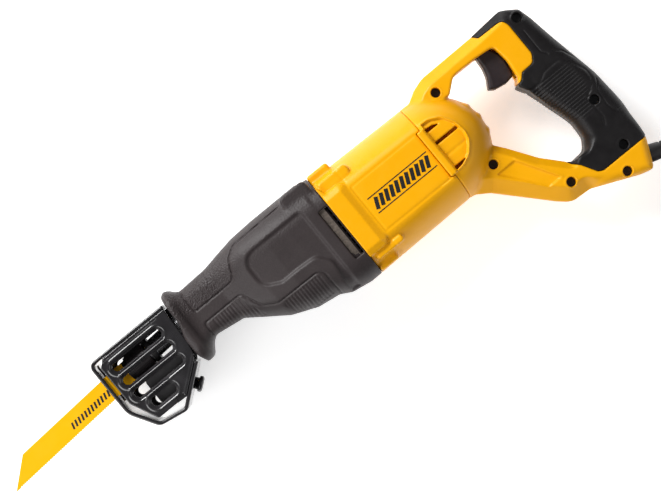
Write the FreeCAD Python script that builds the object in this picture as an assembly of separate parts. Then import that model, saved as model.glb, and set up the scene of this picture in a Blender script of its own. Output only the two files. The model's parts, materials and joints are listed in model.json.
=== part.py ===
"""Corded reciprocating saw lying on its side: housing, gears, wobble drive, plunger, shoe, blade and cord."""

import FreeCAD, Part
import math
import os

V = FreeCAD.Vector

# ---- driving dimensions, in millimetres --------------------------------------------------------------------
# Drawing frame: x back from the motor housing's front, y towards the trigger side, z up from the mid-plane.
AXIS_Y = -1.0  # height of the motor axis
SIDE_REACH = 40.0  # mid-plane to the faces that the saw lies on

HOUSING_LENGTH = 90.0
HOUSING_RADIUS = 45.0
HOUSING_TAPER = 1.5  # smaller radius at the rear
FLAT_REACH = 37.0  # mid-plane to the flat sides of the motor housing
HOUSING_WALL = 3.0
BLOCK_LENGTH = 15.0  # raised block at the front of each flat side
BLOCK_HALF = 25.0
TAB_LENGTH = 6.0  # raised tab at the rear of each flat side
TAB_HALF = 21.0

BOOT_LENGTH = 128.0  # housing front to the boot's neck
LIP_LENGTH = 22.0  # flared lip in front of the neck
BOOT_WALL = 3.0
CASE_WALL = 4.0
NOSE_TOP, NOSE_BOTTOM, NOSE_HALF, NOSE_CORNER = 42.0, -2.0, 21.0, 10.0
REAR_PROUD = 5.0  # boot top above the round of the housing
REAR_TOP = AXIS_Y + HOUSING_RADIUS + REAR_PROUD
REAR_BOTTOM = AXIS_Y - HOUSING_RADIUS + 0.5
REAR_HALF = SIDE_REACH - 1.5
REAR_CORNER = 26.0
# each station: share of the boot's length, then how far the top, the bottom and the width have grown
BOOT_STATIONS = (
    (1.0, 0.0, 0.0, 0.0),
    (0.82, 0.14, 0.08, 0.09),
    (0.70, 0.57, 0.33, 0.40),
    (0.586, 0.93, 0.57, 0.69),
    (0.43, 1.0, 0.76, 0.91),
    (0.28, 1.0, 0.82, 1.0),
    (0.21, 1.0, 0.94, 1.0),
    (0.0, 1.0, 1.0, 1.0),
)
# each lip section: distance in front of the neck, growth of the top, the bottom and the half width
LIP_SECTIONS = (
    (3.0, 3.0, 1.5, 2.0),
    (7.0, 7.5, 5.0, 5.0),
    (11.5, 8.0, 11.5, 7.0),
    (LIP_LENGTH, 3.0, 12.0, 5.0),
)
LIP_LEAN = 4.5  # the lip's front face leans back this much towards the top

PLUNGER_RADIUS = 8.0
LINE_ANGLE = 3.7  # the plunger's line dips this much towards the blade
DRIVE_X = -45.0  # the drive ball at mid-stroke
DRIVE_Y = 29.4
PLUNGER_TAIL = 11.0  # behind the drive ball
PLUNGER_REACH = 130.0  # drive ball to the blade clamp
CLAMP_LENGTH = 27.0
CLAMP_RADIUS = 9.0
BLADE_WIDTH = 18.4
COLLAR_WALL = 2.2
COLLAR_LENGTH = 16.0
KEEPER_WIDTH = 1.5
KEEPER_OVER_BLADE = 1.6  # the keeper ring's rim beyond the blade's edge
KEEPER_SLACK = 0.6
COLLAR_TAB = 2.5  # height and half width of the collar's thumb tab
BLADE_LENGTH = 152.0
BLADE_THICKNESS = 1.2
TOOTH_PITCH = 1.8
TOOTH_DEPTH = 0.9

MODULE = 0.6
PINION_TEETH = 9
GEAR_TEETH = 45
PRESSURE_ANGLE = 20.0
BACKLASH = 0.16
SHAFT_RADIUS = 4.0
RUNNING = 0.05  # radial clearance of a shaft in its bearing
FREE = 0.3  # clearance between other moving pieces
HUB_RADIUS = 7.5  # ball hub of the wobble drive
HUB_HALF = 6.0
RING_HALF = 4.0
BALL_RADIUS = 5.0
ARM_RADIUS = 2.8
BALL_GAP = 0.2
DRIVE_FLAT = 8.0  # flats on the plunger reach this far ahead of the drive ball

STATOR_RADIUS = 33.5
STATOR_YOKE = 4.0
ROTOR_RADIUS = 23.0
AIR_GAP = 0.5
CORE_FRONT = 24.0  # housing front to the laminations
CORE_LENGTH = HOUSING_LENGTH - 54.0
FAN_RADIUS = 30.0
FAN_LENGTH = 11.0
FAN_BLADES = 12

HANDLE_X = HOUSING_LENGTH  # the handle's drawing starts at the housing's rear face
DOME_DEPTH = 46.0
DOME_RADIUS = HOUSING_RADIUS - HOUSING_TAPER
BAR_REACH = 17.0  # mid-plane to the faces of the handle's bars and grip
COVER_THICKNESS = 2.5  # soft cover over the grip
HANDLE_WALL = 5.5  # cover and shell together
SCREW_SHANK = 2.0
SCREW_HEAD = 3.6
SCREW_WELL = 4.0

TRIGGER_HALF = 8.0

SHOE_HALF = 20.0
SHOE_SHEET = 2.0
PIVOT_X, PIVOT_Y = -163.0, 3.0
POST_HALF = 6.0
POST_HEAD = 6.0
PIN_RADIUS = 3.0
RIVET_HEAD = 6.5

CORD_DIAMETER = 8.0
GUARD_LENGTH = 45.0
GUARD_ANGLE = -20.0
COIL_MEAN_RADIUS = 40.0
COIL_WIDTH = 24.0
COIL_HEIGHT = 24.0

ORIGIN = V(BLOCK_LENGTH / 2, AXIS_Y, -SIDE_REACH)  # centre of the face that the saw lies on
FAR = 400.0  # beyond every piece
made = {}


# ---- helpers -----------------------------------------------------------------------------------------------
def keep(name, *shapes):
    """Name a node. Several shapes stay separate solids."""
    made[name] = shapes[0] if len(shapes) == 1 else Part.makeCompound(list(shapes))
    return made[name]


def box(x0, x1, y0, y1, z0, z1):
    return Part.makeBox(x1 - x0, y1 - y0, z1 - z0, V(x0, y0, z0))


def rod(start, end, radius):
    return Part.makeCylinder(radius, (end - start).Length, start, end - start)


def slice_x(x0, x1):
    """Everything between two places along the tool."""
    return box(x0, x1, -FAR, FAR, -FAR, FAR)


def along_x(x0, x1, radius, y=AXIS_Y, z=0.0):
    return rod(V(x0, y, z), V(x1, y, z), radius)


def along_z(x, y, z0, z1, radius):
    return rod(V(x, y, z0), V(x, y, z1), radius)


def ring_x(x0, x1, inner, outer, y=AXIS_Y, z=0.0):
    return along_x(x0, x1, outer, y, z).cut(along_x(x0, x1, inner, y, z))


def rounded(points):
    """A closed wire in the XY plane. A third number rounds that corner."""
    corners = []
    for i, (x, y, *radius) in enumerate(points):
        here = V(x, y, 0)
        back = V(*points[i - 1][:2], 0) - here
        ahead = V(*points[(i + 1) % len(points)][:2], 0) - here
        back.normalize()
        ahead.normalize()
        if not radius:
            corners.append((here, None, here))
            continue
        half = back.getAngle(ahead) / 2
        reach = radius[0] / math.tan(half)
        bisector = back + ahead
        bisector.normalize()
        middle = here + bisector * (radius[0] / math.sin(half) - radius[0])
        corners.append((here + back * reach, middle, here + ahead * reach))
    edges = []
    for i, (first, middle, last) in enumerate(corners):
        if middle:
            edges.append(Part.Arc(first, middle, last).toShape())
        following = corners[(i + 1) % len(corners)][0]
        if (following - last).Length > 1e-6:
            edges.append(Part.LineSegment(last, following).toShape())
    return Part.Wire(edges)


def volume_of(solid):
    return solid.Volume


def largest(shape):
    """The main solid, without the slivers that a cut leaves."""
    return max(shape.Solids, key=volume_of)


def slab(points, z0, z1):
    face = Part.Face(rounded(points))
    face.translate(V(0, 0, z0))
    return face.extrude(V(0, 0, z1 - z0))


def both_sides(shape):
    """The shape and its mirror image across the mid-plane, as one solid or two."""
    return shape.fuse(shape.mirror(V(0, 0, 0), V(0, 0, 1)))


def moved(points, dx=0.0, dy=0.0):
    return [(x + dx, y + dy, *rest) for x, y, *rest in points]


def section(x, top, bottom, half, corner):
    """A rounded rectangle across the tool's axis."""
    wire = rounded([(y, z, corner) for y, z in ((bottom, -half), (top, -half), (top, half), (bottom, half))])
    turn = FreeCAD.Matrix(0, 0, 1, x, 1, 0, 0, 0, 0, 1, 0, 0, 0, 0, 0, 1)
    return wire.transformGeometry(turn)


def grown(start, end, share):
    return start + (end - start) * share


def boot_section(station, inset):
    share, top, bottom, width = station
    return section(
        -BOOT_LENGTH * share,
        grown(NOSE_TOP, REAR_TOP, top) - inset,
        grown(NOSE_BOTTOM, REAR_BOTTOM, bottom) + inset,
        grown(NOSE_HALF, REAR_HALF, width) - inset,
        grown(NOSE_CORNER, REAR_CORNER, width) - inset,
    )


def boot_solid(inset):
    """The boot's outer form from its neck to the housing, made smaller all round by an inset."""
    return Part.makeLoft([boot_section(s, inset) for s in BOOT_STATIONS], True, True)


def nose_prism(x0, x1, inset):
    """The neck's section carried forward from x1 to x0."""
    half, corner = NOSE_HALF - inset, NOSE_CORNER - inset
    ends = [section(x, NOSE_TOP - inset, NOSE_BOTTOM + inset, half, corner) for x in (x0, x1)]
    return Part.makeLoft(ends, True, True)


# ---- the plunger's own line --------------------------------------------------------------------------------
LINE = math.radians(LINE_ANGLE)
FORWARD = V(-math.cos(LINE), -math.sin(LINE), 0)
UPWARD = V(-math.sin(LINE), math.cos(LINE), 0)
DRIVE = V(DRIVE_X, DRIVE_Y, 0)


def on_line(ahead, up=0.0, z=0.0):
    """A point given by its distance ahead of the drive ball, above the line and off the mid-plane."""
    return DRIVE + FORWARD * ahead + UPWARD * up + V(0, 0, z)


def line_rod(start, end, radius):
    return rod(on_line(start), on_line(end), radius)


def line_slab(points, z0, z1):
    """A flat piece drawn with ahead and up distances."""
    flat = [(on_line(s, t).x, on_line(s, t).y) for s, t in points]
    return slab(flat, z0, z1)


def line_box(start, end, low, high, half):
    return line_slab([(start, low), (end, low), (end, high), (start, high)], -half, half)


# ---- gears -------------------------------------------------------------------------------------------------
def gear(teeth, x0, x1, y, turn):
    """A spur gear on an axis along x, with involute flanks. turn is in radians."""
    pitch = MODULE * teeth / 2
    base = pitch * math.cos(math.radians(PRESSURE_ANGLE))
    root, tip = pitch - 1.2 * MODULE, pitch + 0.85 * MODULE

    def involute(radius):
        return math.tan(math.acos(base / radius)) - math.acos(base / radius)

    half_tooth = math.pi / (2 * teeth) - BACKLASH / (2 * pitch)
    flank = []
    steps = 4
    low = max(base, root)
    for k in range(steps + 1):
        radius = low + (tip - low) * k / steps
        flank.append((radius, half_tooth + involute(pitch) - involute(max(radius, base))))
    if root < base:
        flank.insert(0, (root, flank[0][1]))
    points = []
    for tooth in range(teeth):
        middle = turn + 2 * math.pi * tooth / teeth
        for radius, angle in flank:
            points.append((radius, middle - angle))
        for radius, angle in reversed(flank):
            points.append((radius, middle + angle))
    corners = [V(x0, y + r * math.cos(a), r * math.sin(a)) for r, a in points]
    return Part.Face(Part.makePolygon(corners + corners[:1])).extrude(V(x1 - x0, 0, 0))


GEAR_DISTANCE = MODULE * (PINION_TEETH + GEAR_TEETH) / 2
JACK_Y = AXIS_Y - GEAR_DISTANCE

# places along the motor axis
CASE_END = -4.0
COVER_FRONT = -12.0
GEAR_X0, GEAR_X1 = -28.0, -19.0
PINION_END = -18.0
CASE_NOSE = -BOOT_LENGTH - 15.0
CAVITY_FRONT = -BOOT_LENGTH + 6.0
FRONT_WEB = (-92.0, -80.0)
JACK_WEB = (-67.0, -60.0)
MOTOR_BEARING = (11.0, 7.0)  # outer radius, width
JACK_BEARING = (8.0, 5.0)
TIP_BEARING = (7.0, 5.0)
CASE_SCREW_Y, CASE_SCREW_Z = 33.0, 22.0
CASE_SCREW = 2.5
CASE_BOSS = 5.5
CASE_HEAD = (4.2, 4.0)  # radius, height
POST_TAIL = 19.0  # length of the shoe post inside the nose
REAR_WALL = 3.0
WINDOW = (-24.0, 20.5)  # air outlet between the boot and the housing


def corner_rods(x0, x1, radius):
    """The four case screw places."""
    places = [(AXIS_Y + up * CASE_SCREW_Y, out * CASE_SCREW_Z) for up in (1, -1) for out in (1, -1)]
    return [along_x(x0, x1, radius, y, z) for y, z in places]


def fuse_all(shapes):
    return shapes[0].multiFuse(shapes[1:]).removeSplitter()


def motor_housing():
    rear = HOUSING_RADIUS - HOUSING_TAPER
    centre, x_axis = V(0, AXIS_Y, 0), V(1, 0, 0)
    outside = Part.makeCone(HOUSING_RADIUS, rear, HOUSING_LENGTH, centre, x_axis)
    outside = outside.common(box(0, HOUSING_LENGTH, -FAR, FAR, -FLAT_REACH, FLAT_REACH))
    block = box(0, BLOCK_LENGTH, AXIS_Y - BLOCK_HALF, AXIS_Y + BLOCK_HALF, FLAT_REACH / 2, SIDE_REACH)
    tab_x = HOUSING_LENGTH - TAB_LENGTH
    tab = box(tab_x, HOUSING_LENGTH, AXIS_Y - TAB_HALF, AXIS_Y + TAB_HALF, FLAT_REACH / 2, SIDE_REACH)
    pads = both_sides(block.fuse(tab))
    outside = fuse_all([outside, pads])
    hollow = Part.makeCone(
        HOUSING_RADIUS - HOUSING_WALL, rear - HOUSING_WALL, HOUSING_LENGTH - REAR_WALL, centre, x_axis
    )
    inner_flat = FLAT_REACH - HOUSING_WALL
    hollow = hollow.common(box(-1, HOUSING_LENGTH, -FAR, FAR, -inner_flat, inner_flat))
    saddles = [(CORE_FRONT + 2, CORE_FRONT + 6), (CORE_FRONT + CORE_LENGTH - 6, CORE_FRONT + CORE_LENGTH - 2)]
    ribs = [slice_x(a, b).common(hollow).cut(along_x(a, b, STATOR_RADIUS)) for a, b in saddles]
    hub_start = HOUSING_LENGTH - MOTOR_BEARING[1]
    hub = along_x(hub_start, HOUSING_LENGTH, MOTOR_BEARING[0] + HOUSING_WALL)
    bosses = corner_rods(0, 20, CASE_BOSS)
    shell = outside.cut(hollow).multiFuse([*ribs, hub, *bosses]).removeSplitter()
    shell = shell.cut(along_x(hub_start, HOUSING_LENGTH, MOTOR_BEARING[0]))
    vents = []
    for k in range(6):
        angle = math.radians(60 * k + 30)
        y, z = AXIS_Y + 26 * math.cos(angle), 26 * math.sin(angle)
        vents.append(along_x(hub_start - 5, HOUSING_LENGTH + 1, 6, y, z))
    return shell.cut(vents[0].multiFuse(vents[1:] + corner_rods(-1, 14, CASE_SCREW)))


def gearcase_pieces():
    outer = fuse_all([boot_solid(BOOT_WALL), nose_prism(CASE_NOSE, -BOOT_LENGTH, BOOT_WALL)])
    inner = boot_solid(BOOT_WALL + CASE_WALL)
    inner = inner.common(slice_x(CAVITY_FRONT, 0))
    bosses = corner_rods(COVER_FRONT, 0, CASE_BOSS)
    webs = slice_x(*FRONT_WEB).fuse(box(*JACK_WEB, -FAR, JACK_Y + 12, -FAR, FAR))
    hollow = inner.cut(webs.multiFuse(bosses))
    case = outer.cut(hollow)
    side = box(CASE_END, 1, WINDOW[0], WINDOW[1], NOSE_HALF, FAR)
    tip = along_x(JACK_WEB[0] + 1, JACK_WEB[1] + 1, TIP_BEARING[0], JACK_Y)
    tip_shaft = along_x(JACK_WEB[0], JACK_WEB[1] + 1, SHAFT_RADIUS + 1, JACK_Y)
    case = case.cut(both_sides(side).multiFuse([tip, tip_shaft, line_rod(20, 105, PLUNGER_RADIUS + 0.6)]))
    case = case.cut(line_rod(81, 97, PLUNGER_RADIUS + 3).fuse(line_rod(36.5, 46, PLUNGER_RADIUS + 3)))
    post_hole = box(CASE_NOSE - 1, CASE_NOSE + POST_TAIL, PIVOT_Y - 2, PIVOT_Y + 6, -POST_HALF, POST_HALF)
    case = case.cut(post_hole.multiFuse(corner_rods(COVER_FRONT - 1, 1, CASE_SCREW)))
    heads = corner_rods(COVER_FRONT - CASE_HEAD[1], COVER_FRONT, CASE_HEAD[0] + RUNNING)
    case = largest(case.cut(heads[0].multiFuse(heads[1:])))
    plate = hollow.common(slice_x(COVER_FRONT, CASE_END))
    seat_x = COVER_FRONT - JACK_BEARING[1]
    plate = plate.fuse(along_x(seat_x, COVER_FRONT, JACK_BEARING[0] + 2.5, JACK_Y))
    plate = plate.cut(along_x(seat_x, COVER_FRONT, JACK_BEARING[0], JACK_Y))
    plate = plate.cut(along_x(CASE_END - MOTOR_BEARING[1], CASE_END, MOTOR_BEARING[0]))
    plate = plate.cut(along_x(seat_x, CASE_END, SHAFT_RADIUS + 1.5))
    return case, plate, outer


def boot(core):
    lip = []
    for ahead, top, bottom, half in ((0.0, 0.0, 0.0, 0.0), *LIP_SECTIONS):
        sizes = (NOSE_TOP + top, NOSE_BOTTOM - bottom, NOSE_HALF + half, NOSE_CORNER + half)
        lip.append(section(-BOOT_LENGTH - ahead, *sizes))
    skin = boot_solid(0).fuse(Part.makeLoft(lip, True, True))
    front = -BOOT_LENGTH - LIP_LENGTH
    above, below = REAR_TOP + 9, NOSE_BOTTOM - 20
    lean = slab([(front + LIP_LEAN, above), (front, below), (-FAR, below), (-FAR, above)], -FAR, FAR)
    bore = nose_prism(front - 1, CASE_NOSE + 1, BOOT_WALL)
    window = both_sides(box(-9.5, 1, WINDOW[0], WINDOW[1], NOSE_HALF, FAR))
    return skin.cut(core.multiFuse([bore, lean, window])).removeSplitter()


case, case_cover, case_outer = gearcase_pieces()
keep("motor_housing", motor_housing())
keep("gearcase", case)
keep("gearcase_cover", case_cover)
keep("boot", boot(case_outer))
screws = []
for shank, head in zip(
    corner_rods(COVER_FRONT, 14, CASE_SCREW - RUNNING),
    corner_rods(COVER_FRONT - CASE_HEAD[1], COVER_FRONT, CASE_HEAD[0]),
    strict=True,
):
    screws.append(shank.fuse(head))
keep("gearcase_screws", *screws)


# ---- motor -------------------------------------------------------------------------------------------------
CORE_REAR = CORE_FRONT + CORE_LENGTH
COMMUTATOR = (CORE_REAR + 8, CORE_REAR + 22)
COMMUTATOR_RADIUS = 12.0
BRUSH_PLATE = (COMMUTATOR[0] - 1.5, COMMUTATOR[0] + 1)
BRUSH_X = (COMMUTATOR[0] + 2.5, COMMUTATOR[1] - 3.5)
BRUSH_OUTER = 27.0


def housing_section(x0, x1):
    """What fills the housing's hollow between two places."""
    radius = HOUSING_RADIUS - HOUSING_WALL - HOUSING_TAPER
    flat = FLAT_REACH - HOUSING_WALL
    return along_x(x0, x1, radius).common(box(x0, x1, -FAR, FAR, -flat, flat))


def stator():
    yoke = ring_x(CORE_FRONT, CORE_REAR, STATOR_RADIUS - STATOR_YOKE, STATOR_RADIUS)
    bore = ROTOR_RADIUS + AIR_GAP
    full = ring_x(CORE_FRONT, CORE_REAR, bore, STATOR_RADIUS - STATOR_YOKE)
    poles = full.common(box(CORE_FRONT, CORE_REAR, -FAR, FAR, -19, 19))
    return yoke.multiFuse([poles]).removeSplitter()


def field_coil(side):
    bore = ROTOR_RADIUS + AIR_GAP + 0.5
    ring = ring_x(CORE_FRONT - 5, CORE_REAR + 5, bore, STATOR_RADIUS - STATOR_YOKE)
    low, high = sorted((side * 19.0, side * FAR))
    return ring.common(box(-FAR, FAR, -FAR, FAR, low, high))


def fan():
    hub = along_x(2, 2 + FAN_LENGTH, SHAFT_RADIUS + 4)
    disc = along_x(2, 4, FAN_RADIUS)
    blades = []
    for k in range(FAN_BLADES):
        blade = box(4, 2 + FAN_LENGTH, AXIS_Y + SHAFT_RADIUS + 3, AXIS_Y + FAN_RADIUS - 1, -0.8, 0.8)
        blade.rotate(V(0, AXIS_Y, 0), V(1, 0, 0), 360 * k / FAN_BLADES)
        blades.append(blade)
    whole = hub.multiFuse([disc, *blades]).removeSplitter()
    return whole.cut(along_x(2, 2 + FAN_LENGTH, SHAFT_RADIUS))


def brush_set(side):
    half = (BRUSH_X[1] - BRUSH_X[0]) / 2
    middle = (BRUSH_X[0] + BRUSH_X[1]) / 2
    brush = box(middle - half + 1, middle + half - 1, COMMUTATOR_RADIUS + FREE, BRUSH_OUTER - 3, -3, 3)
    holder = box(BRUSH_X[0], BRUSH_X[1], COMMUTATOR_RADIUS + 3, BRUSH_OUTER, -4.2, 4.2).cut(brush)
    foot = box(BRUSH_PLATE[1], BRUSH_X[0], COMMUTATOR_RADIUS + 3, BRUSH_OUTER, -4.2, 4.2)
    holder = holder.fuse(foot).removeSplitter()
    for piece in (brush, holder):
        piece.translate(V(0, AXIS_Y, 0))
        if side < 0:
            piece.rotate(V(0, AXIS_Y, 0), V(1, 0, 0), 180)
    return brush, holder


shaft_rear = HOUSING_LENGTH
shaft = along_x(PINION_END, shaft_rear, SHAFT_RADIUS)
shaft = shaft.fuse(gear(PINION_TEETH, GEAR_X0 - 1, PINION_END, AXIS_Y, math.pi)).removeSplitter()
keep("armature_shaft", shaft)
keep("armature_core", ring_x(CORE_FRONT, CORE_REAR, SHAFT_RADIUS, ROTOR_RADIUS))
end_turns = [
    ring_x(a, b, SHAFT_RADIUS, ROTOR_RADIUS - 2)
    for a, b in ((CORE_FRONT - 4, CORE_FRONT), (CORE_REAR, CORE_REAR + 4))
]
keep("armature_end_turns", *end_turns)
keep("commutator", ring_x(*COMMUTATOR, SHAFT_RADIUS, COMMUTATOR_RADIUS))
keep("cooling_fan", fan())
keep("stator_core", stator())
keep("field_coils", field_coil(1), field_coil(-1))
baffle_x = 2 + FAN_LENGTH + 1.5
keep("fan_baffle", housing_section(baffle_x, baffle_x + 2).cut(
    along_x(baffle_x, baffle_x + 2, 20).multiFuse(corner_rods(0, 20, CASE_BOSS))
))
keep("brush_plate", housing_section(*BRUSH_PLATE).cut(along_x(*BRUSH_PLATE, COMMUTATOR_RADIUS + 2)))
brush_pairs = [brush_set(side) for side in (1, -1)]
keep("carbon_brushes", *[pair[0] for pair in brush_pairs])
keep("brush_holders", *[pair[1] for pair in brush_pairs])


def bearing(rear, size, shaft_size, y):
    """A bearing given by its rear face, its outer radius and width, and its shaft."""
    outer, width = size
    return ring_x(rear - width, rear, shaft_size + RUNNING, outer, y)


tip_radius = SHAFT_RADIUS - 0.5
tip_rear = JACK_WEB[0] + 1 + TIP_BEARING[1]
keep("motor_front_bearing", bearing(CASE_END, MOTOR_BEARING, SHAFT_RADIUS, AXIS_Y))
keep("motor_rear_bearing", bearing(HOUSING_LENGTH, MOTOR_BEARING, SHAFT_RADIUS, AXIS_Y))
keep("jackshaft_rear_bearing", bearing(COVER_FRONT, JACK_BEARING, SHAFT_RADIUS, JACK_Y))
keep("jackshaft_front_bearing", bearing(tip_rear, TIP_BEARING, tip_radius, JACK_Y))


# ---- gear train and wobble drive ---------------------------------------------------------------------------
step_x = tip_rear + 0.5
jackshaft = along_x(step_x, COVER_FRONT, SHAFT_RADIUS, JACK_Y)
keep("jackshaft", jackshaft.fuse(along_x(JACK_WEB[0] + 1, step_x, tip_radius, JACK_Y)).removeSplitter())
wheel = gear(GEAR_TEETH, GEAR_X0, GEAR_X1, JACK_Y, math.pi / GEAR_TEETH)
keep("drive_gear", wheel.cut(along_x(GEAR_X0, GEAR_X1, SHAFT_RADIUS, JACK_Y)))


def turned_ring(half_width, ball, other):
    """A ring round the jackshaft with one round face. other is its plain face's radius."""
    reach = math.sqrt(ball**2 - half_width**2)
    ends = [V(DRIVE_X + side * half_width, JACK_Y + reach, 0) for side in (-1, 1)]
    feet = [V(DRIVE_X + side * half_width, JACK_Y + other, 0) for side in (1, -1)]
    arc = Part.Arc(ends[0], V(DRIVE_X, JACK_Y + ball, 0), ends[1]).toShape()
    corners = [ends[1], *feet, ends[0]]
    lines = [Part.makeLine(a, b) for a, b in zip(corners, corners[1:], strict=False)]
    return Part.Face(Part.Wire([arc, *lines])).revolve(V(DRIVE_X, JACK_Y, 0), V(1, 0, 0), 360)


keep("wobble_hub", turned_ring(HUB_HALF, HUB_RADIUS, SHAFT_RADIUS))
ring_outer = HUB_RADIUS + 3.0
arm = turned_ring(RING_HALF, HUB_RADIUS + FREE, ring_outer)
stem = rod(V(DRIVE_X, JACK_Y + ring_outer - 1.5, 0), DRIVE, ARM_RADIUS)
ball = Part.makeSphere(BALL_RADIUS, DRIVE, V(0, 1, 0))
keep("wobble_arm", arm.multiFuse([stem, ball]).removeSplitter())


# ---- plunger, blade clamp and blade ------------------------------------------------------------------------
def plunger():
    bar = line_rod(-PLUNGER_TAIL, PLUNGER_REACH, PLUNGER_RADIUS)
    flat = BALL_RADIUS + 0.5
    for low, high in ((-PLUNGER_RADIUS - 1, -flat), (flat, PLUNGER_RADIUS + 1)):
        bar = bar.cut(line_box(-PLUNGER_TAIL - 1, DRIVE_FLAT, low, high, FAR))
    return bar.cut(rod(on_line(0, -PLUNGER_RADIUS), on_line(0, PLUNGER_RADIUS), BALL_RADIUS + BALL_GAP))


CLAMP_START = PLUNGER_REACH
CLAMP_END = CLAMP_START + CLAMP_LENGTH
TANG_START = CLAMP_START + 3.0
TANG_LENGTH = 19.0
TANG_HALF = 6.2
LOCK_AT = TANG_START + 8.0
LOCK_RADIUS = 2.1
LOCK_HALF = 7.0
COLLAR_START = CLAMP_START + 6.0
blade_half = BLADE_WIDTH / 2
slot_half = BLADE_THICKNESS / 2 + RUNNING


def lock_rod(radius):
    """The place of the pin through the blade's tang."""
    return rod(on_line(LOCK_AT, 0, -LOCK_HALF), on_line(LOCK_AT, 0, LOCK_HALF), radius)


def clamp_body():
    body = line_rod(CLAMP_START, CLAMP_END, CLAMP_RADIUS)
    body = body.fuse(line_rod(CLAMP_START, CLAMP_START + 4, CLAMP_RADIUS + COLLAR_WALL))
    narrow, wide = TANG_HALF + RUNNING, blade_half + 3
    shoulder = TANG_START + TANG_LENGTH - RUNNING
    cuts = [((TANG_START, shoulder), narrow), ((shoulder, CLAMP_END + 1), wide)]
    for (a, b), half in cuts:
        body = body.cut(line_box(a, b, -half, half, slot_half))
    return body.cut(lock_rod(LOCK_RADIUS))


def blade():
    start, shoulder, tip = TANG_START, TANG_START + TANG_LENGTH, TANG_START + BLADE_LENGTH
    slope = 1.29  # the tip's front edge leans back this much for each unit of width
    edge = [(start, -TANG_HALF), (shoulder, -TANG_HALF), (shoulder, -blade_half)]
    first = CLAMP_END + 4
    count = int((tip - 4 - first) / TOOTH_PITCH)
    for k in range(count):
        at = first + k * TOOTH_PITCH
        edge += [(at, -blade_half), (at + TOOTH_PITCH * 0.55, -blade_half + TOOTH_DEPTH)]
    edge += [(first + count * TOOTH_PITCH, -blade_half), (tip, -blade_half)]
    edge += [(tip - slope * BLADE_WIDTH, blade_half), (shoulder, blade_half)]
    edge += [(shoulder, TANG_HALF), (start, TANG_HALF)]
    flat = line_slab(edge, -BLADE_THICKNESS / 2, BLADE_THICKNESS / 2)
    return flat.cut(lock_rod(LOCK_RADIUS + RUNNING))


def collar():
    outer = CLAMP_RADIUS + FREE + COLLAR_WALL
    end = COLLAR_START + COLLAR_LENGTH
    ring = line_rod(COLLAR_START, end, outer)
    tab = line_box(COLLAR_START, end, outer - 1, outer + COLLAR_TAB, COLLAR_TAB)
    return ring.fuse(tab).removeSplitter().cut(line_rod(COLLAR_START, end, CLAMP_RADIUS + FREE))


keep("plunger", plunger())
keep("clamp_body", clamp_body())
keep("clamp_collar", collar())
ring_at = COLLAR_START + COLLAR_LENGTH + FREE
ring_end = ring_at + KEEPER_WIDTH
keeper = line_rod(ring_at, ring_end, BLADE_WIDTH / 2 + KEEPER_OVER_BLADE)
keeper = keeper.cut(line_rod(ring_at, ring_end, CLAMP_RADIUS))
keeper_gap = line_box(ring_at - 1, ring_end + 1, -blade_half - 1, 0, slot_half + 1)
blade_way = line_box(ring_at - 1, ring_end + 1, 0, blade_half + KEEPER_SLACK, slot_half)
keep("clamp_keeper_ring", keeper.cut(keeper_gap).cut(blade_way))
keep("clamp_pin", lock_rod(LOCK_RADIUS))
keep("blade", blade())
for name, start, end in (("plunger_front_bushing", 81, 97), ("plunger_rear_bushing", 36.5, 46)):
    sleeve = line_rod(start, end, PLUNGER_RADIUS + 3).cut(line_rod(start, end, PLUNGER_RADIUS + RUNNING))
    keep(name, sleeve)
seal = line_rod(97, 102, PLUNGER_RADIUS + 4).cut(line_rod(97, 102, PLUNGER_RADIUS + FREE)).cut(case)
keep("plunger_seal", largest(seal))


# ---- shoe --------------------------------------------------------------------------------------------------
SHOE_OUTER = [(15.2, 39.5), (-58, 39.5, 7), (-58, -9, 14), (-44, -32, 8), (-20, -36, 6), (10, -12)]
SHOE_INNER = [(8.2, -9.6), (-21, -32.8, 4), (-42.4, -29.2, 6), (-55, -8, 12), (-55, 36.5, 4), (15.2, 36.5)]
SHOE_PLATE = [
    (14.6, 36.5), (-46, 36.5), (-51.5, 31, 2), (-51.5, -4, 3), (-41, -26.5, 3), (-21, -26.5), (-21, -23.5),
    (-14.5, -23.5), (-14.5, -27.6), (8.2, -9.6), (11.5, -4), (13, 4),
]  # fmt: skip
# each slot: height, then from and to along the tool, and half its width
SHOE_SLOTS = (
    (24.5, -41, -1.5, 3.5), (11.25, -41, -1.5, 3.75), (-1.5, -41, -1.5, 3.5), (-15, -34, -19.5, 4.0),
)  # fmt: skip
BRACKET_EAR = [
    (-33, -18), (-33, 2, 3), (-12, 8, 8), (6, 8, 6), (9, -3), (8.2, -9.6), (-14, -27.2), (-23, -27),
]  # fmt: skip
EAR_INSIDE = POST_HALF + FREE
EAR_OUTSIDE = EAR_INSIDE + 2.0


def from_pivot(points):
    return moved(points, PIVOT_X, PIVOT_Y)


def stadium(y, x0, x1, radius, z0, z1):
    ends = [along_z(PIVOT_X + x, PIVOT_Y + y, z0, z1, radius) for x in (x0, x1)]
    middle = box(PIVOT_X + x0, PIVOT_X + x1, PIVOT_Y + y - radius, PIVOT_Y + y + radius, z0, z1)
    return middle.multiFuse(ends)


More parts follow.
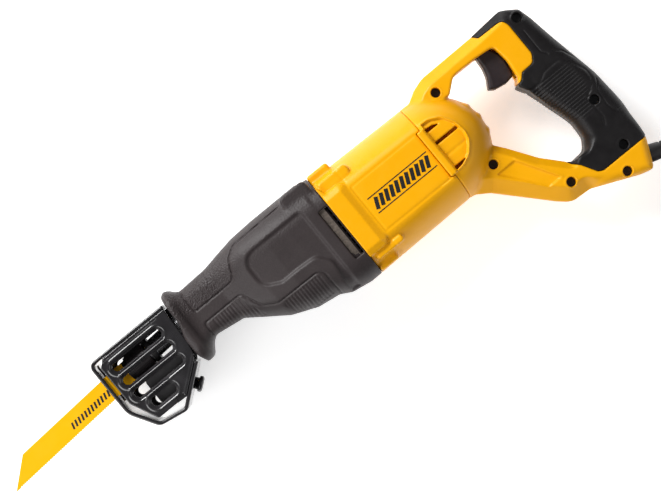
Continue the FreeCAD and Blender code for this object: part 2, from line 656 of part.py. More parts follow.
hoop = slab(from_pivot(SHOE_OUTER + SHOE_INNER), -SHOE_HALF, SHOE_HALF)
hoop = hoop.cut(box(PIVOT_X - 60, PIVOT_X - 54, PIVOT_Y, PIVOT_Y + 35.5, -6, 6))
rivet_middle = V(PIVOT_X - 5, PIVOT_Y - 22, 0)
rivet_axis = V(0.625, -0.78, 0)
rivet_hole = rod(rivet_middle - rivet_axis * 8, rivet_middle + rivet_axis * 8, PIN_RADIUS)
keep("shoe_hoop", hoop.cut(rivet_hole))
rivet_head = rod(rivet_middle + rivet_axis * 5.2, rivet_middle + rivet_axis * 8.2, RIVET_HEAD)
rivet_shank = rod(rivet_middle - rivet_axis * 1.5, rivet_middle + rivet_axis * 5.2, PIN_RADIUS)
rivet = rivet_head.fuse(rivet_shank).removeSplitter()
plate = slab(from_pivot(SHOE_PLATE), SHOE_HALF - SHOE_SHEET, SHOE_HALF)
for slot in SHOE_SLOTS:
    plate = plate.cut(stadium(*slot, 0, FAR))
plate = plate.cut(hoop)
keep("shoe_plate_left", plate)
keep("shoe_plate_right", plate.mirror(V(0, 0, 0), V(0, 0, 1)))
ears = both_sides(slab(from_pivot(BRACKET_EAR), EAR_INSIDE, EAR_OUTSIDE))
base = slab(from_pivot([(8.2, -9.6), (-14, -27.2), (-15.4, -25.4), (6.8, -7.8)]), -EAR_OUTSIDE, EAR_OUTSIDE)
bracket = ears.fuse(base).removeSplitter().cut(hoop).cut(rivet_hole)
bracket = bracket.cut(along_z(PIVOT_X, PIVOT_Y, -FAR, FAR, PIN_RADIUS))
keep("shoe_bracket", largest(bracket))
keep("shoe_rivet", rivet.cut(hoop.cut(rivet_hole)))
post = box(PIVOT_X, CASE_NOSE + POST_TAIL, PIVOT_Y - 2, PIVOT_Y + 6, -POST_HALF, POST_HALF)
post = post.fuse(along_z(PIVOT_X, PIVOT_Y, -POST_HALF, POST_HALF, POST_HEAD)).removeSplitter()
keep("shoe_post", post.cut(along_z(PIVOT_X, PIVOT_Y, -POST_HALF, POST_HALF, PIN_RADIUS + RUNNING)))
pin = along_z(PIVOT_X, PIVOT_Y, -EAR_OUTSIDE, EAR_OUTSIDE, PIN_RADIUS)
pin = pin.fuse(along_z(PIVOT_X, PIVOT_Y, EAR_OUTSIDE, EAR_OUTSIDE + 2, PIN_RADIUS + 2))
keep("shoe_pivot_pin", pin.fuse(along_z(PIVOT_X, PIVOT_Y, -EAR_OUTSIDE - 2, -EAR_OUTSIDE, PIN_RADIUS + 2)))


# ---- handle ------------------------------------------------------------------------------------------------
# outlines measured back from the housing's rear face
HANDLE_OUTLINE = [
    (0.2, 41), (8, 41.5), (18, 47.5, 8), (28, 50.8, 20), (79, 51.5), (108, 53.5, 9), (121, 45, 6),
    (124, 34, 12), (128, 10, 40), (136, -30, 60), (138, -60, 60), (135, -93, 20), (124, -117, 5),
    (113, -114, 20), (76, -98, 10), (59, -97, 12), (50, -89), (15, -52), (3, -44), (0.2, -42),
]  # fmt: skip
FINGER_HOLE = [
    (30, 27), (37, 27.5), (48, 36.8, 10), (70, 36.5), (86, 35, 4), (88, 20, 30), (86, 4, 2), (82, -1, 2),
    (87, -10, 20), (92, -30, 40), (98, -50, 30), (97, -64, 8), (91, -72.5, 6), (78, -73.5, 8), (60, -54),
    (45, -32, 10), (38, -23, 6), (30, -23),
]  # fmt: skip
GRIP_REGION = [
    (78, 70), (78, 52), (82, 47), (104, 46.5, 6), (106, 40), (106, 12, 5), (102, 6, 4), (91, 5.5, 2),
    (87, 1.2, 2), (80, -1), (72, -5), (70, -60), (76, -73.5), (81, -79), (88, -91, 4), (92, -93),
    (160, -93), (160, 70),
]  # fmt: skip
HANDLE_SCREWS = ((29.5, 35.5), (29, -35.5), (67, -84), (106, -105), (114.5, 40.5), (116.5, -87), (121, -46))
DOME_SLOTS = ((3, 15, 15.5, 18.5), (3, 24, 3.5, 6), (3, 15, -20.5, -17.5))
TRIGGER_PIVOT = (78.0, 40.0)
TRIGGER_SHAPE = [
    (73, 44, 4), (83, 44, 4), (84, 34), (87.5, 30, 4), (88, 20, 20), (86, 8, 3), (78, 6.5, 3), (68, 8.2, 3),
    (63.5, 12, 1.2), (69, 22, 20), (71, 34),
]  # fmt: skip
SWITCH_GAP = 1.5
SWITCH = (96.0, 116.0, 9.0, 33.0)  # x from, x to, y from, y to
SWITCH_HALF = BAR_REACH - HANDLE_WALL - SWITCH_GAP
BUTTON_Y = 20.0
BUTTON_RADIUS = 2.5
BUTTON_FRONT = 88.0 + FREE
BUTTON_REAR = SWITCH[0] + 8.0
SCREW_FLOOR = 9.0  # mid-plane to the seat of a handle screw's head
SCREW_END = -8.0


def handle_point(x, y, z=0.0):
    return V(HANDLE_X + x, y, z)


def plate_face(inset):
    outer = Part.Face(rounded(moved(HANDLE_OUTLINE, HANDLE_X)))
    hole = Part.Face(rounded(moved(FINGER_HOLE, HANDLE_X)))
    if inset:
        outer = outer.makeOffset2D(-inset)
        hole = hole.makeOffset2D(inset)
    return outer, hole


def plate_solid(inset, reach):
    solids = []
    for face in plate_face(inset):
        face.translate(V(0, 0, -reach))
        solids.append(face.extrude(V(0, 0, 2 * reach)))
    return solids[0].cut(solids[1])


def dome_solid(depth, radius, flat):
    """Half an egg behind the housing, its sides flattened."""
    rim, tip, centre = handle_point(0, AXIS_Y + radius), handle_point(depth, AXIS_Y), handle_point(0, AXIS_Y)
    if depth > radius:
        oval = Part.Ellipse(tip, rim, centre)
        low, high = 0.0, math.pi / 2
    else:
        oval = Part.Ellipse(rim, tip, centre)
        low, high = -math.pi / 2, 0.0
    edges = [Part.Arc(oval, low, high).toShape(), Part.makeLine(tip, centre), Part.makeLine(centre, rim)]
    face = Part.Face(Part.Wire(Part.__sortEdges__(edges)))
    egg = face.revolve(centre, V(1, 0, 0), 360)
    return egg.common(box(HANDLE_X, HANDLE_X + depth + 1, -FAR, FAR, -flat, flat))


dome = dome_solid(DOME_DEPTH, DOME_RADIUS, FLAT_REACH)
dome_hollow = dome_solid(DOME_DEPTH - HOUSING_WALL, DOME_RADIUS - HOUSING_WALL, FLAT_REACH - HOUSING_WALL)
grip_region = slab(moved(GRIP_REGION, HANDLE_X), -FAR, FAR)
skin = plate_solid(0, BAR_REACH)
under_cover = plate_solid(COVER_THICKNESS, BAR_REACH - COVER_THICKNESS)
covers = skin.common(grip_region).cut(under_cover)
hollow = plate_solid(HANDLE_WALL, BAR_REACH - HANDLE_WALL)
screw_bosses = [
    along_z(HANDLE_X + x, y, -BAR_REACH + 1, BAR_REACH - 1, SCREW_WELL + 2.0) for x, y in HANDLE_SCREWS
]
hollow = hollow.fuse(dome_hollow).cut(screw_bosses[0].multiFuse(screw_bosses[1:]))
trigger_gap = TRIGGER_HALF + 0.6
trigger_slot = box(HANDLE_X + 62, HANDLE_X + SWITCH[0], 3.0, 47.0, -trigger_gap, trigger_gap)
wells = [along_z(HANDLE_X + x, y, SCREW_FLOOR, BAR_REACH + 1, SCREW_WELL) for x, y in HANDLE_SCREWS]
holes = [along_z(HANDLE_X + x, y, SCREW_END, SCREW_FLOOR, SCREW_SHANK + RUNNING) for x, y in HANDLE_SCREWS]
dome_slots = []
for start, end, low, high in DOME_SLOTS:
    dome_slots.append(both_sides(box(HANDLE_X + start, HANDLE_X + end, low, high, FLAT_REACH / 2, FAR)))
pivot_pin = along_z(HANDLE_X + TRIGGER_PIVOT[0], TRIGGER_PIVOT[1], -13, 13, 1.5)
guard_turn = math.radians(GUARD_ANGLE)
guard_way = V(math.cos(guard_turn), math.sin(guard_turn), 0)
GUARD_FOOT = handle_point(124, -104)
guard = Part.makeCone(7.5, 5.5, GUARD_LENGTH, GUARD_FOOT, guard_way)
collar_disc = Part.makeCylinder(9.0, 3.0, GUARD_FOOT, guard_way)
guard = guard.multiFuse([collar_disc]).removeSplitter()
carved = [trigger_slot, pivot_pin, guard, *wells, *holes, *dome_slots]
whole = skin.cut(covers).fuse(dome).cut(hollow).cut(carved[0].multiFuse(carved[1:]))
upper, lower = box(-FAR, FAR, -FAR, FAR, 0, FAR), box(-FAR, FAR, -FAR, FAR, -FAR, 0)
covers = covers.cut(carved[0].multiFuse(carved[1:]))
for side, half in (("left", upper), ("right", lower)):
    keep(f"handle_{side}", largest(whole.common(half)))
    keep(f"grip_cover_{side}", largest(covers.common(half)))
screws = []
for x, y in HANDLE_SCREWS:
    head = along_z(HANDLE_X + x, y, SCREW_FLOOR, SCREW_FLOOR + 3, SCREW_HEAD)
    screws.append(head.fuse(along_z(HANDLE_X + x, y, SCREW_END, SCREW_FLOOR, SCREW_SHANK)))
keep("handle_screws", *screws)
keep("trigger_pin", pivot_pin)
trigger = slab(moved(TRIGGER_SHAPE, HANDLE_X), -TRIGGER_HALF, TRIGGER_HALF)
keep("trigger", trigger.cut(along_z(HANDLE_X + TRIGGER_PIVOT[0], TRIGGER_PIVOT[1], -20, 20, 1.5 + RUNNING)))
button_hole = along_x(HANDLE_X + SWITCH[0], HANDLE_X + BUTTON_REAR + 5, BUTTON_RADIUS + RUNNING, BUTTON_Y)
switch = box(HANDLE_X + SWITCH[0], HANDLE_X + SWITCH[1], SWITCH[2], SWITCH[3], -SWITCH_HALF, SWITCH_HALF)
keep("switch_body", switch.cut(button_hole))
keep("switch_button", along_x(HANDLE_X + BUTTON_FRONT, HANDLE_X + BUTTON_REAR, BUTTON_RADIUS, BUTTON_Y))
keep("cord_guard", guard)
clamp_x, clamp_y = HANDLE_X + 104, -92.0
cord_clamp = box(clamp_x, clamp_x + 9, clamp_y - 6, clamp_y + 6, -(BAR_REACH - HANDLE_WALL), 0)
cord_clamp = cord_clamp.cut(along_x(clamp_x, clamp_x + 9, CORD_DIAMETER / 2, clamp_y))
keep("cord_clamp", cord_clamp.common(hollow))


# ---- cord --------------------------------------------------------------------------------------------------
FLOOR = -SIDE_REACH
LYING = FLOOR + CORD_DIAMETER / 2
exit_point = GUARD_FOOT + guard_way * GUARD_LENGTH
CORD_ROUTE = [
    exit_point,
    exit_point + guard_way * 38,
    V(HANDLE_X + 237.5, -170, LYING),
    V(HANDLE_X + 226, -225, LYING),
    V(HANDLE_X + 177, -243, LYING),
]
COIL_CENTRE = V(HANDLE_X + 174, -195, FLOOR)


def cord_tube(route, radius):
    """Straight runs joined by tangent arcs, each as large as its two runs allow."""
    edges, at, length, radii = [], route[0], 0.0, []
    for before, corner, after in zip(route, route[1:], route[2:], strict=False):
        back, ahead = before - corner, after - corner
        shorter = min(back.Length, ahead.Length)
        back.normalize()
        ahead.normalize()
        turn = math.pi - back.getAngle(ahead)
        arc_radius = 0.45 * shorter / math.tan(turn / 2)
        first, last = corner + back * 0.45 * shorter, corner + ahead * 0.45 * shorter
        bisector = back + ahead
        bisector.normalize()
        middle = corner + bisector * (arc_radius / math.cos(turn / 2) - arc_radius)
        edges += [Part.LineSegment(at, first).toShape(), Part.Arc(first, middle, last).toShape()]
        length += (first - at).Length + arc_radius * turn
        radii.append(round(arc_radius, 1))
        at = last
    edges.append(Part.LineSegment(at, route[-1]).toShape())
    length += (route[-1] - at).Length
    start = route[1] - route[0]
    circle = Part.Wire(Part.makeCircle(radius, route[0], start))
    tube = Part.Wire(edges).makePipeShell([circle], True, False, 2)
    print("cord: radii", radii, "length", round(length), "volume over section times length",
          round(tube.Volume / (math.pi * radius**2 * length), 4))
    return tube


half_width = COIL_WIDTH / 2
bundle = [
    V(COIL_MEAN_RADIUS - half_width, 0, 0), V(COIL_MEAN_RADIUS + half_width, 0, 0),
    V(COIL_MEAN_RADIUS + half_width, 0, COIL_HEIGHT), V(COIL_MEAN_RADIUS - half_width, 0, COIL_HEIGHT),
]  # fmt: skip
coil = Part.Face(Part.makePolygon(bundle + bundle[:1])).revolve(V(0, 0, 0), V(0, 0, 1), 360)
coil.translate(COIL_CENTRE)
keep("cord_coil", coil)
tube = cord_tube(CORD_ROUTE, CORD_DIAMETER / 2).cut(coil)
keep("cord_tube", largest(tube))
plug_top = FLOOR + COIL_HEIGHT
PLUG_FRONT, PLUG_REAR, PLUG_HALF, PLUG_THICK = -18.0, 20.0, 13.0, 16.0
SLEEVE_LENGTH, SLEEVE_RADIUS, SLEEVE_UP = 24.0, 5.0, 6.0
PIN_LENGTH, PLUG_PIN_RADIUS, PIN_APART = 19.0, 2.4, 9.5
PLUG_BODY = [
    (PLUG_FRONT, -PLUG_HALF, 4), (PLUG_REAR, -PLUG_HALF, 8),
    (PLUG_REAR, PLUG_HALF, 8), (PLUG_FRONT, PLUG_HALF, 4),
]  # fmt: skip
plug_x, plug_y = COIL_CENTRE.x - 4, COIL_CENTRE.y - COIL_MEAN_RADIUS
plug = slab(moved(PLUG_BODY, plug_x, plug_y), plug_top, plug_top + PLUG_THICK)
sleeve_start = V(plug_x + PLUG_REAR, plug_y, plug_top + SLEEVE_UP)
sleeve = rod(sleeve_start, sleeve_start + V(SLEEVE_LENGTH, 0, 0), SLEEVE_RADIUS)
plug = plug.fuse(sleeve).removeSplitter()
keep("plug_body", plug)
pins = []
for side in (1, -1):
    root = V(plug_x + PLUG_FRONT, plug_y + side * PIN_APART, plug_top + PLUG_THICK / 2)
    pins.append(rod(root, root + V(-PIN_LENGTH, -side * 0.5, 0), PLUG_PIN_RADIUS))
keep("plug_pins", *[p.cut(plug) for p in pins])


# ---- save --------------------------------------------------------------------------------------------------
os.makedirs("parts", exist_ok=True)
for name, shape in made.items():
    placed = shape.copy()
    placed.translate(ORIGIN * -1)
    if not placed.isValid():
        print("not valid:", name)
    placed.exportStep(f"parts/{name}.step")
print(len(made), "nodes")
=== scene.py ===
import json
import math

import bpy
import numpy as np
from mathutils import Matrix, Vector


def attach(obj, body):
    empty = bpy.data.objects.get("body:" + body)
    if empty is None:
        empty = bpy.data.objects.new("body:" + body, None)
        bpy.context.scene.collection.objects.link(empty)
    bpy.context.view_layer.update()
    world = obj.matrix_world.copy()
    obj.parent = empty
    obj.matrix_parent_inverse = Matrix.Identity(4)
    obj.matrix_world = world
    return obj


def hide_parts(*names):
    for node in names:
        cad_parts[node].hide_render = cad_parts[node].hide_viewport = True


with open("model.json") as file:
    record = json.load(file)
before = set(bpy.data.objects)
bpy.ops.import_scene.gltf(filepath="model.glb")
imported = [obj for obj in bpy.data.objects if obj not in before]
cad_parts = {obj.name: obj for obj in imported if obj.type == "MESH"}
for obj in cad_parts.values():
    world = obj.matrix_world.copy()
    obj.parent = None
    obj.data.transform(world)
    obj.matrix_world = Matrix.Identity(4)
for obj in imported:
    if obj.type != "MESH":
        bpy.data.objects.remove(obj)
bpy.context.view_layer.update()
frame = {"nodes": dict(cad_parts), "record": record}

# Shapes are drawn in millimetres, x back from the motor housing's front face, y towards the trigger, z up from
# the mid-plane. PLACE moves them to the frame, where the saw lies on its right side.
MM = 0.001
PLACE = np.array((-7.5, 1.0, 40.0))
AXIS_Y = -1.0
DRIVE_X, DRIVE_Y = -45.0, 29.4  # where the wobble arm's ball drives the plunger
LINE_DIP = math.radians(3.7)
SLOT_OF = {part["node"]: part["material_slot"] for part in frame["record"]["subparts"]}


# ---- stage ---------------------------------------------------------------------------------------------------
def mesh_object(name, points, faces, smooth=True):
    mesh = bpy.data.meshes.new(name)
    mesh.from_pydata([tuple(p) for p in points], [], [tuple(f) for f in faces])
    mesh.validate()
    mesh.polygons.foreach_set("use_smooth", [smooth] * len(mesh.polygons))
    mesh.update()
    piece = bpy.data.objects.new(name, mesh)
    bpy.context.collection.objects.link(piece)
    return piece


def placed(points):
    """Drawing points as frame points."""
    return (np.asarray(points, float) + PLACE) * MM


def spot(x, y, z):
    return tuple(float(c) for c in placed((x, y, z)))


def round_wire(name, points, radius, smoothness):
    """A curve of round section along control points in the frame."""
    curve = bpy.data.curves.new(name, "CURVE")
    curve.dimensions = "3D"
    spline = curve.splines.new("NURBS")
    spline.points.add(len(points) - 1)
    for point, place in zip(spline.points, points, strict=True):
        point.co = (*place, 1)
    spline.order_u = 3
    spline.use_endpoint_u = True
    spline.resolution_u = smoothness
    curve.bevel_depth = radius
    curve.bevel_resolution = 3
    curve.use_fill_caps = True
    wire = bpy.data.objects.new(name, curve)
    bpy.context.collection.objects.link(wire)
    return wire


def plain_piece(name, source):
    """The mesh that an object ends up with, as a new piece in its place."""
    mesh = bpy.data.meshes.new_from_object(source.evaluated_get(bpy.context.evaluated_depsgraph_get()))
    source.modifiers.clear()
    bpy.data.objects.remove(source)
    piece = bpy.data.objects.new(name, mesh)
    bpy.context.collection.objects.link(piece)
    return piece


def build_stage():
    camera = bpy.data.objects.new("camera", bpy.data.cameras.new("camera"))
    bpy.context.collection.objects.link(camera)
    height, seen_width = 1.5, 0.515
    camera.location = (-0.0275, -0.006, 0.04 + height)
    camera.rotation_euler = (0, 0, math.radians(-39.3))
    camera.data.lens = camera.data.sensor_width * height / seen_width
    bpy.context.scene.camera = camera
    floor = mesh_object("floor", [(-4, -4, 0), (4, -4, 0), (4, 4, 0), (-4, 4, 0)], [(0, 1, 2, 3)], False)
    for name, place, size, power in (
        ("key_light", (-0.5, 1.7, 1.35), 0.9, 56),
        ("side_light", (-1.6, -0.3, 1.3), 1.2, 19),
        ("low_light", (1.3, -1.1, 1.1), 1.4, 6),
    ):
        light = bpy.data.objects.new(name, bpy.data.lights.new(name, "AREA"))
        light.data.size, light.data.energy = size, power
        light.location = place
        light.rotation_euler = (Vector((0, 0, 0.04)) - Vector(place)).to_track_quat("-Z", "Y").to_euler()
        bpy.context.collection.objects.link(light)
    world = bpy.data.worlds.new("studio")
    world.use_nodes = True
    world.node_tree.nodes["Background"].inputs["Color"].default_value = (1, 1, 1, 1)
    world.node_tree.nodes["Background"].inputs["Strength"].default_value = 0.16
    bpy.context.scene.world = world
    bpy.context.scene.view_settings.view_transform = "Standard"
    return floor


# ---- paints --------------------------------------------------------------------------------------------------
class Signal:
    """One output of a paint's tree. Sums and products of signals add Math nodes."""

    def __init__(self, paint, socket):
        self.paint, self.socket = paint, socket

    def math(self, operation, *others):
        return self.paint.node("ShaderNodeMath", {"operation": operation}, self, *others)

    def __add__(self, other):
        return self.math("ADD", other)

    def __mul__(self, other):
        return self.math("MULTIPLY", other)

    __radd__, __rmul__ = __add__, __mul__


class Paint:
    """A finish: its shader's steady numbers, and what changes over the surface."""

    def __init__(self, name, **steady):
        self.material = bpy.data.materials.new(name)
        self.material.use_nodes = True
        self.tree = self.material.node_tree
        self.shader = self.tree.nodes["Principled BSDF"]
        for socket, value in steady.items():
            self.shader.inputs[socket.replace("_", " ")].default_value = value
        self.place = self.node("ShaderNodeTexCoord", {}, out="Object")

    def node(self, kind, settings, *values, out=0, **named):
        node = self.tree.nodes.new(kind)
        for key, setting in settings.items():
            if key == "stops":
                for k, (at, colour) in enumerate(setting):
                    stop = node.color_ramp.elements[k] if k < 2 else node.color_ramp.elements.new(at)
                    stop.position, stop.color = at, (*colour, 1)
            else:
                setattr(node, key, setting)
        given = list(enumerate(values)) + [(key.replace("_", " "), value) for key, value in named.items()]
        for key, value in given:
            if isinstance(value, Signal):
                self.tree.links.new(value.socket, node.inputs[key])
            else:
                node.inputs[key].default_value = value
        return Signal(self, node.outputs[out])

    def feed(self, **sockets):
        for key, signal in sockets.items():
            self.tree.links.new(signal.socket, self.shader.inputs[key.replace("_", " ")])
        return self

    def stretched(self, scale, turn=0.0):
        return self.node("ShaderNodeMapping", {}, Vector=self.place, Scale=scale, Rotation=(0, 0, turn))

    def noise(self, scale, detail=3.0, rough=0.5, where=None):
        return self.node("ShaderNodeTexNoise", {}, Vector=where or self.place, Scale=scale, Detail=detail,
                         Roughness=rough)

    def cells(self, scale, feature="F1"):
        return self.node("ShaderNodeTexVoronoi", {"feature": feature}, Vector=self.place, Scale=scale)

    def axis(self, letter):
        return self.node("ShaderNodeSeparateXYZ", {}, self.place, out=letter)

    def ramp(self, signal, *stops):
        return self.node("ShaderNodeValToRGB", {"stops": stops}, signal)

    def soft_step(self, signal, low, high, start=0.0, end=1.0):
        return self.node("ShaderNodeMapRange", {"interpolation_type": "SMOOTHSTEP"}, signal, low, high, start, end)

    def bump(self, height, depth, strength=1.0, under=None):
        named = {"Normal": under} if under else {}
        return self.node("ShaderNodeBump", {}, Height=height, Distance=depth, Strength=strength, **named)


def shade(colour, share):
    return tuple(min(1.0, c * share) for c in colour)


def moulded(name, colour, rough, grain, relief, spread=0.08, **steady):
    """Moulded plastic or rubber: a fine spark-eroded grain, slow changes of tone, and rubbed places."""
    paint = Paint(name, **steady)
    slow, fine, rubbed = paint.noise(14, 4), paint.noise(grain, 2), paint.noise(90, 5, 0.65)
    paint.feed(Base_Color=paint.ramp(
        slow * 0.6 + rubbed * 0.4, (0.3, shade(colour, 1 - spread)), (0.7, shade(colour, 1 + spread))))
    paint.feed(Roughness=paint.soft_step(rubbed + 0.25 * fine, 0.35, 0.9, rough - 0.07, rough + 0.09))
    sink = paint.bump(slow, 0.0006, 0.25)
    return paint.feed(Normal=paint.bump(fine + 0.5 * paint.cells(grain * 0.7), relief, 0.5, sink))


def hide_grain(name, colour, rough):
    """Soft boot rubber with a grain like hide, deepest on the upper pad of the neck."""
    paint = Paint(name, Specular_IOR_Level=0.35)
    folds, fine, slow = paint.cells(820, "SMOOTH_F1"), paint.noise(1900, 2), paint.noise(22, 4)
    neck = paint.soft_step(paint.axis("X"), -0.105, -0.085, 1.0, 0.25)
    upper = paint.soft_step(paint.axis("Y"), 0.02, 0.026, 0.15, 1.0)
    paint.feed(Base_Color=paint.ramp(
        slow * 0.7 + 0.3 * folds, (0.25, shade(colour, 0.8)), (0.8, shade(colour, 1.3))))
    paint.feed(Roughness=paint.soft_step(slow + 0.3 * fine, 0.3, 0.9, rough - 0.08, rough + 0.1))
    veins = paint.bump(folds * (neck * upper), 0.0009, 0.8)
    return paint.feed(Normal=paint.bump(fine, 0.00012, 0.5, veins))


def coated_steel(name, colour, rough):
    """Thick gloss coating over pressed sheet: orange peel, dust specks and rubbed edges of tone."""
    paint = Paint(name, Coat_Weight=0.6, Coat_Roughness=0.12)
    peel, specks, slow = paint.noise(330, 2), paint.noise(1500, 2), paint.noise(30, 5, 0.6)
    paint.feed(Base_Color=paint.ramp(slow, (0.3, shade(colour, 0.7)), (0.75, shade(colour, 1.7))))
    paint.feed(Roughness=paint.soft_step(slow + 0.2 * specks, 0.4, 0.8, rough, rough + 0.16))
    return paint.feed(Normal=paint.bump(peel, 0.00012, 0.3))


def worked_metal(name, colour, rough, stretch=(1, 1, 1), scale=900, relief=0.00006, metallic=1.0, turn=0.0):
    """Bare metal with tool marks: stretch says which way they run."""
    paint = Paint(name, Metallic=metallic)
    marks = paint.noise(scale, 3, 0.6, paint.stretched(stretch, turn))
    stain = paint.noise(60, 5, 0.6)
    paint.feed(Base_Color=paint.ramp(
        marks * 0.5 + stain * 0.5, (0.3, shade(colour, 0.78)), (0.7, shade(colour, 1.12))))
    paint.feed(Roughness=paint.soft_step(marks + 0.5 * stain, 0.4, 1.1, rough - 0.08, rough + 0.14))
    return paint.feed(Normal=paint.bump(marks, relief, 0.7))


def banded(name, colours, pitch, letter, rough, metallic, relief):
    """Stacked sheets or wound wire: a band at every pitch along one axis."""
    paint = Paint(name, Metallic=metallic)
    way = paint.axis(letter)
    band = (way * (2 * math.pi / pitch)).math("SINE") * 0.5 + 0.5
    stain, fine = paint.noise(120, 4, 0.6), paint.noise(1500, 2)
    paint.feed(Base_Color=paint.ramp(band * 0.7 + stain * 0.3, (0.2, colours[0]), (0.75, colours[1])))
    paint.feed(Roughness=paint.soft_step(stain + 0.3 * fine, 0.4, 0.9, rough - 0.08, rough + 0.12))
    return paint.feed(Normal=paint.bump(band, relief, 0.8))


def make_finishes():
    yellow = (0.92, 0.42, 0.0)
    black = (0.014, 0.012, 0.0125)
    return {
        "yellow_plastic": moulded("yellow_shell", yellow, 0.36, 2300, 0.00006, 0.035, Specular_IOR_Level=0.28),
        "boot_rubber": hide_grain("boot_hide", (0.034, 0.026, 0.0265), 0.46),
        "grip_rubber": moulded("grip_soft", (0.008, 0.007, 0.0075), 0.44, 1700, 0.00012, 0.25,
                               Specular_IOR_Level=0.28),
        "cord_rubber": moulded("flex_jacket", black, 0.45, 1200, 0.00008, 0.25),
        "dark_plastic": moulded("plum_plastic", (0.017, 0.011, 0.013), 0.42, 2100, 0.00007, 0.2),
        "seal_rubber": moulded("seal", (0.03, 0.03, 0.03), 0.6, 1500, 0.0001, 0.2),
        "cast_aluminium": worked_metal("casting", (0.25, 0.21, 0.18), 0.45, (1, 1, 1), 700, 0.00025),
        "black_steel": coated_steel("shoe_coat", (0.013, 0.012, 0.0135), 0.16),
        "dark_steel": worked_metal("blackened", (0.07, 0.068, 0.07), 0.42, (1, 6, 6), 500, 0.00006),
        "ground_steel": worked_metal("ground", (0.55, 0.55, 0.57), 0.24, (14, 1, 1), 260, 0.00003),
        # near-black screw heads: painted shade of their deep wells, darker than the screws' own steel
        "screw_steel": worked_metal("screw_heads_painted_shade", (0.035, 0.035, 0.037), 0.4, (1, 1, 1), 800, 0.00005, 0.7),
        "laminated_steel": banded("laminations", ((0.10, 0.10, 0.11), (0.34, 0.34, 0.36)), 0.001, "X", 0.4, 0.9,
                                  0.00015),
        "copper": banded("windings", ((0.19, 0.055, 0.018), (0.62, 0.24, 0.09)), 0.0011, "Y", 0.3, 0.8, 0.0002),
        "brass": worked_metal("brass", (0.62, 0.43, 0.15), 0.28, (1, 9, 9), 400),
        "bronze": worked_metal("bronze", (0.42, 0.24, 0.09), 0.38, (1, 1, 1), 1100, 0.0001),
        "carbon": worked_metal("carbon", (0.03, 0.03, 0.032), 0.6, (1, 1, 1), 1300, 0.0001, 0.2),
        "blade_paint": moulded("blade_coat", (0.97, 0.48, 0.0), 0.34, 1500, 0.00003, 0.02, Specular_IOR_Level=0.3),
    }


def floor_paint():
    paint = Paint("paper", Roughness=0.75, Emission_Color=(1, 1, 1, 1), Emission_Strength=0.55)
    cloud = paint.noise(3, 3)
    paint.feed(Base_Color=paint.ramp(cloud, (0.3, (0.93, 0.93, 0.93)), (0.7, (0.95, 0.95, 0.95))))
    return paint.feed(Normal=paint.bump(paint.noise(700, 2), 0.0001, 0.1))


floor = build_stage()
FINISH = make_finishes()
floor.data.materials.append(floor_paint().material)


def finish_piece(piece, slot, body="housing", stands_for=(), paint=None):
    """Last step of every piece: its paint (its slot's finish unless a paint is given), its body and the CAD nodes that
    it stands for.
    """
    piece.data.materials.clear()
    piece.data.materials.append((paint or FINISH[slot]).material)
    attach(piece, body)
    if stands_for:
        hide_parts(*stands_for)
    return piece


# ---- mains lead ----------------------------------------------------------------------------------------------
LEAD = 0.008
LEAD_EXIT = (0.24879, -0.11839, 0.040)
COIL_CENTRE = (0.2565, -0.194)
COIL_TURNS = ((48, 4), (40, 4), (32, 4), (32, 12), (40, 12), (48, 12), (48, 20), (40, 20), (34, 20), (48, 21))
TURN_POINTS = 16


def lead_line():
    """The lead's control points: out of the guard, down to the table, round the coil and into the plug."""
    points = [LEAD_EXIT, (0.2845, -0.13139, 0.040), (0.320, -0.169, 0.004), (0.3085, -0.224, 0.004),
              (0.2595, -0.2424, 0.004)]
    swell = 1 / math.cos(math.pi / TURN_POINTS)
    count = TURN_POINTS * (len(COIL_TURNS) - 1)
    start = math.radians(-109)
    for k in range(count - 4):
        turn, part = divmod(k / TURN_POINTS, 1)
        now, following = COIL_TURNS[int(turn)], COIL_TURNS[int(turn) + 1]
        share = max(0.0, (part - 0.5) / 0.5)
        radius = (now[0] + (following[0] - now[0]) * share) * swell * MM
        height = (now[1] + (following[1] - now[1]) * share) * MM
        angle = start - 2 * math.pi * k / TURN_POINTS
        points.append((COIL_CENTRE[0] + radius * math.cos(angle), COIL_CENTRE[1] + radius * math.sin(angle), height))
    points += [(0.3135, -0.196, 0.0215), (0.3185, -0.214, 0.0255), (0.3135, -0.231, 0.029), (0.2965, -0.234, 0.030)]
    return points


# ---- solid shapes from distances -----------------------------------------------------------------------------
def length(*parts):
    total = 0.0
    for part in parts:
        total = total + part * part
    return np.sqrt(total)


def fade(low, high, value):
    share = np.clip((value - low) / (high - low), 0.0, 1.0)
    return share * share * (3 - 2 * share)


def join(a, b, soft=0.0):
    near = np.maximum(soft - np.abs(a - b), 0.0) / (soft or 1.0)
    return np.minimum(a, b) - near * near * soft / 4


def both(a, b, soft=0.0):
    return -join(-a, -b, soft)


def carve(a, b, soft=0.0):
    return both(a, -b, soft)


def rounded(points, closed=True):
    """Corners of an outline, with an arc where a third number gives a radius."""
    corners = []
    count = len(points)
    for k, (x, y, *radius) in enumerate(points):
        here = np.array((x, y), float)
        if not radius or (not closed and k in (0, count - 1)):
            corners.append(here)
            continue
        back = np.array(points[k - 1][:2], float) - here
        ahead = np.array(points[(k + 1) % count][:2], float) - here
        back, ahead = back / np.hypot(*back), ahead / np.hypot(*ahead)
        half = math.acos(float(np.clip(back @ ahead, -1, 1))) / 2
        reach = radius[0] / math.tan(half)
        first, last = here + back * reach, here + ahead * reach
        steps = max(2, int((math.pi - 2 * half) * 6))
        for step in range(steps + 1):
            t = step / steps
            corners.append(first * (1 - t) ** 2 + here * 2 * t * (1 - t) + last * t * t)
    return np.array(corners)


